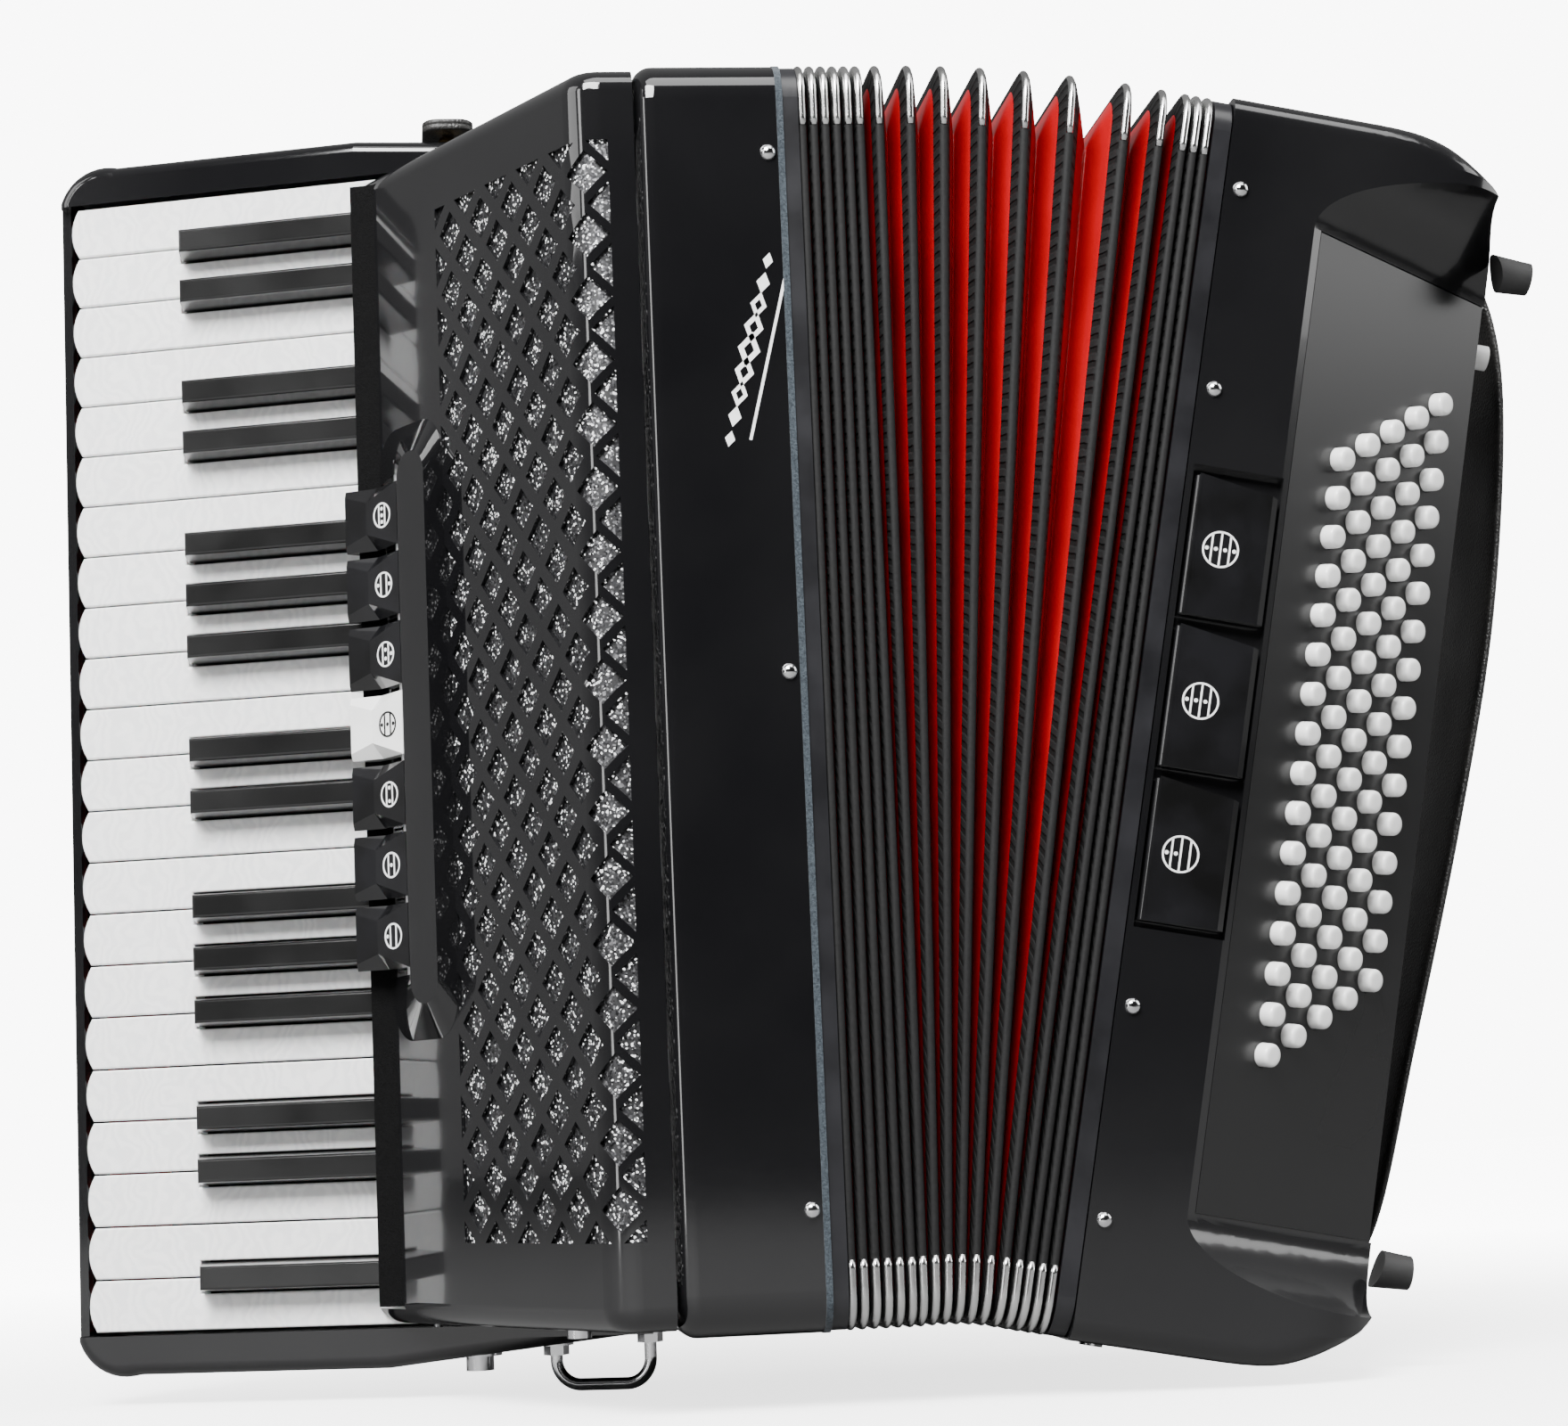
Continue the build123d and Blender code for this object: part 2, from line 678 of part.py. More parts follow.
def bass_outline():
    """Outside shape of the bass casing: its front view and its end view, crossed."""
    top = [(45, half_height), (79, 208.5), (101, 193), (bass_width, 165)]
    upper = Spline(top, tangents=[(1, 0), (0, -1)])
    bottom = [(bass_width, -165), (101, -193), (79, -208.5), (45, -half_height)]
    lower = Spline(bottom, tangents=[(0, -1), (-1, 0)])
    side = Line((bass_width, 165), (bass_width, -165))
    rest = Polyline((45, -half_height), (0, -half_height), (0, half_height), (45, half_height))
    face = Plane.XZ * make_face([upper, side, lower, rest])
    view = Pos(0, front, 0) * extrude(face, body_depth, dir=(0, 1, 0))
    rims = [e for e in view.edges() if abs(e.position_at(0.5).Y) > back - 0.01 and e.position_at(0.5).X > 1]
    view = fillet(rims, 8)
    nose = Spline([(78, front), (102, -87), (bass_width, -58)], tangents=[(1, 0), (0, 1)])
    heel = ThreePointArc((bass_width, 84), (107.3, 95.3), (96, back))
    edge = Line((bass_width, -58), (bass_width, 84))
    rest = Polyline((96, back), (0, back), (0, front), (78, front))
    end = make_face([nose, edge, heel, rest])
    end_view = Pos(0, 0, -half_height) * extrude(end, body_height, dir=(0, 0, 1))
    return view & end_view


def board_cut():
    """Space above the button board, with a scooped cove at each end."""
    reach = board_half_height + 0.5
    rise = 26.0
    depth = 42.0
    low = Polyline((-reach, depth * 2), (-reach - rise, depth * 2), (-reach - rise, depth))
    left_arc = EllipticalCenterArc((-reach, depth), rise, depth, start_angle=180, arc_size=90)
    floor = Line((-reach, 0), (reach, 0))
    right_arc = EllipticalCenterArc((reach, depth), rise, depth, start_angle=270, arc_size=90)
    high = Polyline((reach + rise, depth), (reach + rise, depth * 2), (-reach, depth * 2))
    face = Plane.YZ * make_face([low, left_arc, floor, right_arc, high])
    above = Pos(-20, board_centre_z, 0) * extrude(face, 180, dir=(1, 0, 0))
    low, high = board_centre_z - reach, board_centre_z + reach
    return above + block(-0.3, 160, low, high, -board_thickness, 1)


def strap_band(thickness, y_low, y_high):
    """Curved leather band over the end of the bass casing, both ends inside the casing."""
    path = [(92, 190), (104, 201), (124, 190), (139, 150), (146, 70), (143, -10), (135, -95), (127, -158)]
    path += [(112, -184), (99, -180)]
    line = Spline(path)
    face = Plane.XZ * make_face(trace_band(line, thickness))
    return Pos(0, y_low, 0) * extrude(face, y_high - y_low, dir=(0, 1, 0))


def trace_band(line, thickness):
    """Closed outline at half the thickness either side of a line."""
    steps = 24
    sides = ([], [])
    for step in range(steps + 1):
        at = step / steps
        point = line @ at
        tangent = line % at
        for side, points in zip((-1, 1), sides):
            shift = side * thickness / 2
            points.append((point.X - tangent.Y * shift, point.Y + tangent.X * shift))
    first = Spline(sides[0])
    second = Spline(list(reversed(sides[1])))
    return [first, Line(first @ 1, second @ 0), second, Line(second @ 1, first @ 0)]


def bass_casing():
    body = bass_outline()
    local_board = bass_frame.inverse() * board_frame
    body = body - local_board * board_cut()
    rim = rounded_block(-1, 12, back - wall, half_height - wall, corner_radius - wall)
    room = block(-1, bass_width - wall, front + wall, back - wall, -157, 159)
    under_board = Pos(0, 0, -9) * block(-60, 200, -260, 260, 0, 200)
    room = room - local_board * under_board
    ends = block(-1, 60, -60, back - wall, -205, 205)
    opening = local_board * block(4, board_width - 6, -158, 160, -12, 0)
    hatch = block(bass_width - 9, bass_width + 1, -26, 84, -148, 148)
    rebate = block(bass_width - 3.1, bass_width + 1, -32.2, 90.2, -154.2, 154.2)
    tabs = block(2.2, 33.4, front - 1, front + 4.8, -76, 82.2)
    body = body - rim - room - ends - opening - hatch - rebate - tabs
    body = body - strap_band(5.0, -0.6, 80.6)
    body = body - rod_x(-14, 160, bass_width - 12, bass_width + 1, 4.7)
    body = body - pin_holes(bass_pin_x, bass_pin_heights, pin_hole_radius)
    return bass_frame * body


def button_centres(row):
    """Place of each button of one row on the board: distance across, height."""
    u = button_first_u + row * button_row_step
    start = button_first_z + row * button_row_rise
    return [(u, start + number * button_pitch) for number in range(buttons_per_row)]


def bass_button_board():
    low = board_centre_z - board_half_height
    high = board_centre_z + board_half_height
    plate = block(0, board_width, low, high, -board_thickness + 0.05, 0)
    holes = []
    for row in range(len(button_rows)):
        for u, z in button_centres(row):
            holes.append(Pos(u, z, 0) * Cylinder(button_radius + 0.35, 10))
    return board_frame * (plate - holes)


def bass_guide_plate():
    plate = block(14, 82, -135, 158, -15, -13)
    holes = []
    for row in range(len(button_rows)):
        for u, z in button_centres(row):
            holes.append(Pos(u, z, -14) * Cylinder(stem_radius + 0.1, 6))
    return board_frame * (plate - holes)


def bass_button_row(row):
    buttons = []
    for u, z in button_centres(row):
        cap = Pos(u, z, (button_height - 4) / 2) * Cylinder(button_radius, button_height + 4)
        cap = fillet(cap.edges().sort_by(Axis.Z)[-1], 1.2)
        stem = Pos(u, z, -11) * Cylinder(stem_radius, 14)
        buttons.append(board_frame * (cap + stem))
    return buttons


def bass_register(index):
    """Rocker tab with a round bead along its hinge edge, numbered from the top."""
    centre = bass_register_centres[index]
    half = bass_register_height / 2
    section = [(6, -97.9), (32.4, -97.4), (32.4, -99.6), (30.0, -101.9), (4.5, -101.0)]
    body = prism_up(section, centre - half, centre + half)
    wedge = [(4, centre + half + 1), (40, centre + half + 1), (40, centre + half - 6), (4, centre + half)]
    body = body - prism_across(wedge, -110, -90)
    bead = rod_z(5.2, -99.2, centre - half, centre + half - 1, 1.9)
    return bass_frame * (body + bead)


def bass_reed_blocks():
    """Bass soundboard with four reed blocks on its bellows side."""
    board = block(37, 40, -58, 92, -198, 198)
    pieces = [bass_frame * board]
    for row_y in (-44, -10, 24, 58):
        for side in (-1, 1):
            low, high = sorted((side * 4.0, side * 190.0))
            pieces.append(bass_frame * block(12, 37, row_y - 9, row_y + 9, low, high))
    return pieces


def bass_cover_plate():
    plate = block(bass_width - 3, bass_width - 0.2, -32, 90, -154, 154)
    slots = []
    for number in range(-5, 6):
        z = number * 24.0
        slots.append(block(bass_width - 4, bass_width + 1, 8, 72, z - 2.5, z + 2.5))
    return bass_frame * (plate - slots)


def bass_rubber_feet():
    feet = []
    for y, z in ((-57, 179), (-57, -175), (78, 150), (78, -150)):
        base = 97 if y < 0 else bass_width
        cone = Cone(7.4, 5.8, 122 - base)
        feet.append(Pos((base + 122) / 2, y, z) * Rot(0, 90, 0) * cone)
    return feet


def make_bass():
    shell = bass_casing()
    feet = []
    outer = bass_outline()
    for foot in bass_rubber_feet():
        feet.append(bass_frame * (foot - outer))
    save("bass_rubber_feet", *feet)
    save("bass_casing", shell)
    save("bass_button_board", bass_button_board())
    save("bass_guide_plate", bass_guide_plate())
    save("bass_reed_blocks", *bass_reed_blocks())
    save("bass_cover_plate", bass_cover_plate())
    save("bass_strap", bass_frame * strap_band(4.0, 0, 80))
    studs = []
    for side in (-1, 1):
        low, high = sorted((side * half_height, side * (half_height + 3.4)))
        studs.append(bass_frame * rod_z(28, 2, low, high, 4.2))
    save("bass_studs", *studs)
    for row, name in enumerate(button_rows):
        save(f"bass_buttons_{name}", *bass_button_row(row))
    for index in range(len(bass_register_centres)):
        save(f"bass_register_{index + 1}", bass_register(index))
    button = rod_x(-14, 160, bass_width - 8, bass_width + 11, 4.6)
    save("air_button", bass_frame * button)


def make_treble():
    save("treble_casing", treble_casing())
    save("treble_soundboard", treble_soundboard())
    save("treble_reed_blocks", *treble_reed_blocks())
    save("keyboard_frame", keyboard_frame())
    save("pivot_rods", *pivot_rods())
    save("key_bed_felt", key_bed_felt())
    save("key_cover_felt", key_cover_felt())
    save("grille_hood", grille_hood())
    save("grille_cloth", grille_cloth())
    save("register_housing", register_housing())
    save("treble_feet", *treble_feet())
    save("strap_bracket", strap_bracket())
    save("upper_strap_tab", upper_strap_tab())
    save("bellows_straps", *bellows_straps())
    for index in range(register_count):
        save(f"treble_register_{index + 1}", treble_register(index))


os.makedirs("parts", exist_ok=True)
make_treble()
make_keys()
make_bellows()
make_bass()
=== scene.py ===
import bpy
from math import cos, pi, radians, sin, sqrt
from mathutils import Matrix, Vector


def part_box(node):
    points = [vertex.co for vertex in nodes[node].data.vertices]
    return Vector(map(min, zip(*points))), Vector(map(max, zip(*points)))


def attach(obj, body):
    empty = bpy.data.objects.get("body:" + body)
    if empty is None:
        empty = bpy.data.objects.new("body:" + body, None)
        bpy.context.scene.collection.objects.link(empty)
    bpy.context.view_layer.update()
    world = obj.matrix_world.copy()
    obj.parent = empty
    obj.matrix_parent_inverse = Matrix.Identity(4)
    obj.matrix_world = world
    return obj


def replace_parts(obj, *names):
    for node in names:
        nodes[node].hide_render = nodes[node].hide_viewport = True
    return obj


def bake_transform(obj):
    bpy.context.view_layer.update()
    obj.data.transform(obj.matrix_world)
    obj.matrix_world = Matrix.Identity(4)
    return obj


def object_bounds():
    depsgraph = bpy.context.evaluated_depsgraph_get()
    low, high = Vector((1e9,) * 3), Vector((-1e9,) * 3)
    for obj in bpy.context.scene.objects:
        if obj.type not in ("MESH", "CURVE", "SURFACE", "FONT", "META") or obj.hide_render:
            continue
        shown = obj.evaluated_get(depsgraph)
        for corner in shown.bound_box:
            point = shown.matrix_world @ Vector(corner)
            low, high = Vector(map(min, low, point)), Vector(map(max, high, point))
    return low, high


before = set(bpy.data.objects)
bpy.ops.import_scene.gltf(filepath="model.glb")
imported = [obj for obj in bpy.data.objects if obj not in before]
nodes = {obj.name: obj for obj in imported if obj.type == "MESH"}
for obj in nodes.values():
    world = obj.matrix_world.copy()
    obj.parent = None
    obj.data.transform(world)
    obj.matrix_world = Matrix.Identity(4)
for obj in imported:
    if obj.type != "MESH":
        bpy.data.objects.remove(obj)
cad_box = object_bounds()

# Shared layout of the accordion, in metres: the same numbers as the CAD source
HALF_HEIGHT = 0.213
HALF_DEPTH = 0.1
FAN = radians(10.8)
FAN_PIVOT = Vector((0.0455, 0, -0.2435))
BASS_PLACE = Matrix.Translation((0.1196, 0, -0.00975)) @ Matrix.Rotation(FAN, 4, "Y")
BOARD_TILT = radians(36)

# Bellows: seventeen ridges counted from the treble side, with the two bellows frames as 0 and 18.
# The fan opens between ridges 6 and 15, which are the bodies ridge_a and ridge_b.
TREBLE_FRAME = 0
RIDGE_A = 6
RIDGE_B = 15
BASS_FRAME = 18
FIRST_RIDGE_X = 0.0089
RIDGE_A_X = 0.0286
RIDGE_B_CLOSED_X = 0.0583
RIDGE_B_BASS_X = -0.0162
FRAME_T_X = 0.0075
FRAME_B_X = -0.0064
BASS_RIDGE_STEP = 0.0039
FRAME_STEP = 0.35  # from the treble frame to the first ridge, as a share of one ridge step
FOLD_SHARES = (4, 9, 10, 12, 14, 15, 19, 11, 6)
BELLOWS_HALF_Y = 0.099
BELLOWS_HALF_Z = 0.212
BELLOWS_RADIUS = 0.011
FOLD_DEPTH = 0.021
CARD_START = 0.004
CARD_THICKNESS = 0.0004
TAPE_DEPTH = 0.0062
TAPE_SWELL = 0.0003
RIDGE_HALF = 0.0011
CORNER_HALF = 0.00148
CORNER_LEG_LONG = 0.0115
CORNER_LEG_SHORT = 0.012


# ---------------------------------------------------------------- materials

def new_material(name):
    """An empty material with its shader, and a helper that adds and wires nodes."""
    mat = bpy.data.materials.new(name)
    mat.use_nodes = True
    tree = mat.node_tree
    shader = next(n for n in tree.nodes if n.type == "BSDF_PRINCIPLED")

    def add(kind, inputs=None, **settings):
        node = tree.nodes.new(kind)
        for key, value in settings.items():
            setattr(node, key, value)
        for key, value in (inputs or {}).items():
            if hasattr(value, "links"):
                tree.links.new(value, node.inputs[key])
            else:
                node.inputs[key].default_value = value
        return node

    def wire(socket, target):
        tree.links.new(socket, shader.inputs[target])

    return mat, shader, add, wire


def rgba(color):
    return (color[0], color[1], color[2], 1.0)


def ramp(add, source, stops):
    """Colour ramp with the given positions and colours."""
    node = add("ShaderNodeValToRGB", {"Fac": source})
    elements = node.color_ramp.elements
    while len(elements) < len(stops):
        elements.new(0.5)
    for element, (position, color) in zip(elements, stops):
        element.position = position
        element.color = rgba(color)
    return node.outputs["Color"]


def grey(level):
    return (level, level, level)


def mottled(name, dark, light, scale, rough=(0.3, 0.4), bump=0.0, bump_scale=None, coat=0.0, metal=0.0):
    """Surface with soft procedural variation of colour, roughness and relief."""
    mat, shader, add, wire = new_material(name)
    coord = add("ShaderNodeTexCoord").outputs["Object"]
    noise = add("ShaderNodeTexNoise", {"Vector": coord, "Scale": scale, "Detail": 4.0})
    wire(ramp(add, noise.outputs["Fac"], [(0.35, dark), (0.65, light)]), "Base Color")
    span = add("ShaderNodeMapRange", {"Value": noise.outputs["Fac"], "To Min": rough[0], "To Max": rough[1]})
    wire(span.outputs["Result"], "Roughness")
    shader.inputs["Metallic"].default_value = metal
    shader.inputs["Coat Weight"].default_value = coat
    shader.inputs["Coat Roughness"].default_value = 0.03
    if bump:
        fine = add("ShaderNodeTexNoise", {"Vector": coord, "Scale": bump_scale or scale, "Detail": 3.0})
        relief = add("ShaderNodeBump", {"Height": fine.outputs["Fac"], "Strength": bump, "Distance": 0.0006})
        wire(relief.outputs["Normal"], "Normal")
    return mat


def lacquer(name, rough, coat):
    """Polished black lacquer with a faint orange peel."""
    dark, light = (0.004, 0.004, 0.0045), (0.007, 0.007, 0.0075)
    return mottled(name, dark, light, 9, rough=rough, bump=0.012, bump_scale=160, coat=coat)


def pearloid(name):
    """White mother-of-pearl celluloid."""
    mat, shader, add, wire = new_material(name)
    coord = add("ShaderNodeTexCoord").outputs["Object"]
    swirl = add("ShaderNodeTexNoise", {"Vector": coord, "Scale": 90, "Detail": 3.0, "Distortion": 1.6})
    flow = add("ShaderNodeTexWave", {"Vector": coord, "Scale": 60, "Distortion": 22, "Detail": 3.0})
    mix = add("ShaderNodeMath", {0: swirl.outputs["Fac"], 1: flow.outputs["Fac"]}, operation="MULTIPLY")
    pale, white = (0.84, 0.842, 0.845), (0.93, 0.93, 0.925)
    wire(ramp(add, mix.outputs[0], [(0.05, pale), (0.45, white)]), "Base Color")
    shader.inputs["Roughness"].default_value = 0.16
    shader.inputs["Coat Weight"].default_value = 0.6
    shader.inputs["Subsurface Weight"].default_value = 0.06
    shader.inputs["Subsurface Scale"].default_value = 0.002
    return mat


def glitter(name):
    """Black cloth full of small silver flakes that face every way; the brightest flakes glow as painted
    glints.
    """
    mat, shader, add, wire = new_material(name)
    coord = add("ShaderNodeTexCoord").outputs["Object"]
    cells = add("ShaderNodeTexVoronoi", {"Vector": coord, "Scale": 1500})
    split = add("ShaderNodeSeparateColor", {"Color": cells.outputs["Color"]})
    on = add("ShaderNodeMath", {0: split.outputs["Red"], 1: 0.35}, operation="GREATER_THAN")
    level = add("ShaderNodeMath", {0: on.outputs[0], 1: split.outputs["Green"]}, operation="MULTIPLY")
    dark, mid, silver = (0.015, 0.015, 0.016), (0.07, 0.07, 0.074), (0.36, 0.36, 0.37)
    wire(ramp(add, level.outputs[0], [(0.02, dark), (0.5, mid), (1.0, silver)]), "Base Color")
    wire(on.outputs[0], "Metallic")
    shader.inputs["Roughness"].default_value = 0.4
    # Painted glints: the brightest metal flakes give off white light, standing in for sparkling highlights.
    painted_glint_pick = add("ShaderNodeMath", {0: split.outputs["Green"], 1: 0.86}, operation="GREATER_THAN")
    painted_glint_mask = add("ShaderNodeMath", {0: painted_glint_pick.outputs[0], 1: on.outputs[0]}, operation="MULTIPLY")
    glow = add("ShaderNodeMath", {0: painted_glint_mask.outputs[0], 1: 2.2}, operation="MULTIPLY")
    shader.inputs["Emission Color"].default_value = (1, 1, 1, 1)
    wire(glow.outputs[0], "Emission Strength")
    relief = add("ShaderNodeBump", {"Height": split.outputs["Blue"], "Strength": 0.7, "Distance": 0.0012})
    wire(relief.outputs["Normal"], "Normal")
    return mat


def ribbed_tape(name):
    """Black edge tape of the bellows: a smooth edge and corded sides.

    UV x runs round the frame and UV y down into the fold, both in metres.
    """
    cord_pitch = 0.0048
    mat, shader, add, wire = new_material(name)
    uv = add("ShaderNodeSeparateXYZ", {"Vector": add("ShaderNodeUVMap", uv_map="UVMap").outputs["UV"]})
    coord = add("ShaderNodeTexCoord").outputs["Object"]
    wobble = add("ShaderNodeTexNoise", {"Vector": coord, "Scale": 300})
    lean = add("ShaderNodeMath", {0: uv.outputs["Y"], 1: 0.35}, operation="MULTIPLY")
    shift = add("ShaderNodeMath", {0: uv.outputs["X"], 1: lean.outputs[0]}, operation="ADD")
    turns = add("ShaderNodeMath", {0: shift.outputs[0], 1: 2 * pi / cord_pitch}, operation="MULTIPLY")
    nudge = add("ShaderNodeMath", {0: wobble.outputs["Fac"], 1: 1.4}, operation="MULTIPLY")
    phase = add("ShaderNodeMath", {0: turns.outputs[0], 1: nudge.outputs[0]}, operation="ADD")
    wave = add("ShaderNodeMath", {0: phase.outputs[0]}, operation="SINE")
    cord = add("ShaderNodeMapRange", {"Value": wave.outputs[0], "From Min": -0.55, "From Max": 0.25})
    edge = add("ShaderNodeMapRange", {"Value": uv.outputs["Y"], "From Min": 0.0003, "From Max": 0.0013})
    side = add("ShaderNodeMath", {0: edge.outputs["Result"], 1: cord.outputs["Result"]}, operation="MULTIPLY")
    rest = add("ShaderNodeMath", {0: 1.0, 1: edge.outputs["Result"]}, operation="SUBTRACT")
    height = add("ShaderNodeMath", {0: side.outputs[0], 1: rest.outputs[0]}, operation="ADD")
    fine = add("ShaderNodeTexNoise", {"Vector": coord, "Scale": 900, "Detail": 2.0})
    # Painted shade and highlight: the colour follows the cord relief, darker in the grooves, lighter on the
    # crests and the smooth edge.
    groove_shade_tone = add("ShaderNodeMath", {0: height.outputs[0], 1: fine.outputs["Fac"]}, operation="MULTIPLY")
    stops = [(0.02, grey(0.002)), (0.7, (0.008, 0.008, 0.0082))]
    wire(ramp(add, groove_shade_tone.outputs[0], stops), "Base Color")
    shader.inputs["Roughness"].default_value = 0.7
    shader.inputs["Specular IOR Level"].default_value = 0.22
    relief = add("ShaderNodeBump", {"Height": height.outputs[0], "Strength": 0.9, "Distance": 0.0012})
    grain = add("ShaderNodeBump", {"Height": fine.outputs["Fac"], "Strength": 0.25, "Distance": 0.0003})
    tree = mat.node_tree
    tree.links.new(relief.outputs["Normal"], grain.inputs["Normal"])
    wire(grain.outputs["Normal"], "Normal")
    return mat


def bookcloth(name):
    """Glossy coated red cloth with a fine weave."""
    mat, shader, add, wire = new_material(name)
    coord = add("ShaderNodeTexCoord").outputs["Object"]
    broad = add("ShaderNodeTexNoise", {"Vector": coord, "Scale": 26, "Detail": 3.0})
    wire(ramp(add, broad.outputs["Fac"], [(0.3, (0.3, 0.0, 0.004)), (0.7, (0.4, 0.0, 0.006))]), "Base Color")
    rough = add("ShaderNodeMapRange", {"Value": broad.outputs["Fac"], "To Min": 0.26, "To Max": 0.42})
    wire(rough.outputs["Result"], "Roughness")
    shader.inputs["Coat Weight"].default_value = 0.08
    shader.inputs["Specular IOR Level"].default_value = 0.25
    shader.inputs["Coat Roughness"].default_value = 0.18
    weave = add("ShaderNodeTexNoise", {"Vector": coord, "Scale": 1400, "Detail": 2.0})
    relief = add("ShaderNodeBump", {"Height": weave.outputs["Fac"], "Strength": 0.18, "Distance": 0.0003})
    wire(relief.outputs["Normal"], "Normal")
    return mat


def brushed(name, dark, light, rough):
    """Metal with a faint grain."""
    return mottled(name, dark, light, 60, rough=rough, bump=0.02, bump_scale=500, metal=1.0)


def leather(name):
    """Black grained leather."""
    mat, _, add, wire = new_material(name)
    coord = add("ShaderNodeTexCoord").outputs["Object"]
    pores = add("ShaderNodeTexVoronoi", {"Vector": coord, "Scale": 620}, feature="DISTANCE_TO_EDGE")
    broad = add("ShaderNodeTexNoise", {"Vector": coord, "Scale": 40, "Detail": 4.0})
    stops = [(0.3, grey(0.006)), (0.7, (0.018, 0.017, 0.016))]
    wire(ramp(add, broad.outputs["Fac"], stops), "Base Color")
    rough = add("ShaderNodeMapRange", {"Value": broad.outputs["Fac"], "To Min": 0.38, "To Max": 0.58})
    wire(rough.outputs["Result"], "Roughness")
    relief = add("ShaderNodeBump", {"Height": pores.outputs["Distance"], "Strength": 0.5, "Distance": 0.0008})
    wire(relief.outputs["Normal"], "Normal")
    return mat


def felt(name, dark, light, sheen=0.25):
    """Matt fibres with a soft fuzz."""
    mat, shader, add, wire = new_material(name)
    coord = add("ShaderNodeTexCoord").outputs["Object"]
    fuzz = add("ShaderNodeTexNoise", {"Vector": coord, "Scale": 1300, "Detail": 6.0, "Roughness": 0.75})
    wire(ramp(add, fuzz.outputs["Fac"], [(0.38, dark), (0.62, light)]), "Base Color")
    shader.inputs["Roughness"].default_value = 0.95
    shader.inputs["Sheen Weight"].default_value = sheen
    shader.inputs["Specular IOR Level"].default_value = 0.1
    relief = add("ShaderNodeBump", {"Height": fuzz.outputs["Fac"], "Strength": 0.8, "Distance": 0.0008})
    wire(relief.outputs["Normal"], "Normal")
    return mat


def timber(name, dark, light):
    """Bare wood with its grain along z."""
    mat, shader, add, wire = new_material(name)
    coord = add("ShaderNodeTexCoord").outputs["Object"]
    stretch = add("ShaderNodeMapping", {"Vector": coord, "Scale": (30, 30, 3)})
    along = stretch.outputs["Vector"]
    grain = add("ShaderNodeTexWave", {"Vector": along, "Scale": 2, "Distortion": 8, "Detail": 4.0})
    wire(ramp(add, grain.outputs["Fac"], [(0.1, dark), (0.9, light)]), "Base Color")
    shader.inputs["Roughness"].default_value = 0.45
    relief = add("ShaderNodeBump", {"Height": grain.outputs["Fac"], "Strength": 0.15, "Distance": 0.0004})
    wire(relief.outputs["Normal"], "Normal")
    return mat


def make_materials():
    return {
        "lacquer": lacquer("black_lacquer", (0.05, 0.09), 0.5),
        "lacquer_soft": lacquer("black_lacquer_bass", (0.12, 0.18), 0.25),
        "board": mottled("button_board", (0.004, 0.004, 0.0042), (0.006, 0.006, 0.0063), 9, (0.26, 0.3)),
        "pearl": pearloid("white_pearloid"),
        "ebony": mottled(
            "black_keys", grey(0.006), grey(0.012), 30, (0.12, 0.2), bump=0.02, bump_scale=300, coat=0.3
        ),
        "tab": mottled(
            "black_tabs", grey(0.004), (0.008, 0.008, 0.009), 40, (0.1, 0.16), bump=0.015, bump_scale=300,
            coat=0.4,
        ),
        "white": mottled(
            "white_plastic", (0.8, 0.8, 0.79), (0.88, 0.88, 0.87), 60, (0.2, 0.28), bump=0.01, bump_scale=400,
            coat=0.3,
        ),
        "ink_white": mottled("white_inlay", grey(0.78), grey(0.88), 200),
        "ink_black": mottled("black_inlay", grey(0.002), grey(0.006), 200, (0.4, 0.5)),
        "glitter": glitter("grille_glitter"),
        "tape": ribbed_tape("bellows_tape"),
        "red": bookcloth("bellows_red"),
        "chrome": brushed("polished_chrome", (0.62, 0.62, 0.63), (0.78, 0.78, 0.79), (0.08, 0.16)),
        "nickel": brushed("corner_nickel", grey(0.55), (0.72, 0.72, 0.71), (0.16, 0.26)),
        "brass": brushed("brass", (0.55, 0.36, 0.13), (0.75, 0.53, 0.24), (0.15, 0.25)),
        "steel": brushed("steel", (0.35, 0.35, 0.36), (0.5, 0.5, 0.51), (0.25, 0.38)),
        "leather": leather("black_leather"),
        "thread": felt("stitch_thread", grey(0.02), grey(0.07)),
        "felt_black": felt("black_felt", grey(0.0015), (0.005, 0.005, 0.0052), sheen=0.0),
        "felt_red": felt("red_felt", (0.25, 0.004, 0.004), (0.5, 0.012, 0.01)),
        "gasket": felt("blue_grey_gasket", (0.014, 0.02, 0.026), (0.06, 0.075, 0.088)),
        "frame_wood": mottled(
            "bellows_frame_black", (0.005, 0.005, 0.006), (0.012, 0.012, 0.014), 40, (0.25, 0.35), bump=0.05,
            bump_scale=400,
        ),
        "spruce": timber("pale_spruce", (0.42, 0.27, 0.13), (0.62, 0.44, 0.25)),
        "rubber": mottled(
            "black_rubber", grey(0.008), grey(0.018), 90, (0.6, 0.75), bump=0.1, bump_scale=700
        ),
    }


NODE_LOOKS = {
    "lacquer": ["treble_casing", "keyboard_frame", "grille_hood", "register_housing"],
    "lacquer_soft": ["bass_casing", "bass_cover_plate"],
    "board": ["bass_button_board"],
    "spruce": ["treble_soundboard", "treble_reed_blocks", "bass_reed_blocks"],
    "steel": ["pivot_rods", "bass_guide_plate"],
    "felt_red": ["key_bed_felt"],
    "felt_black": ["key_cover_felt"],
    "glitter": ["grille_cloth"],
    "chrome": ["treble_feet", "strap_bracket", "bellows_pins_treble", "bellows_pins_bass", "bass_studs"],
    "leather": ["upper_strap_tab", "bellows_straps", "bass_strap"],
    "gasket": ["bellows_gasket"],
    "frame_wood": ["bellows_frame_treble", "bellows_frame_bass"],
    "red": ["bellows_folds_treble", "bellows_folds_middle", "bellows_folds_bass"],
    "tape": ["bellows_ridge_a", "bellows_ridge_b"],
    "rubber": ["bass_rubber_feet"],
    "white": ["air_button", "treble_register_4"],
}


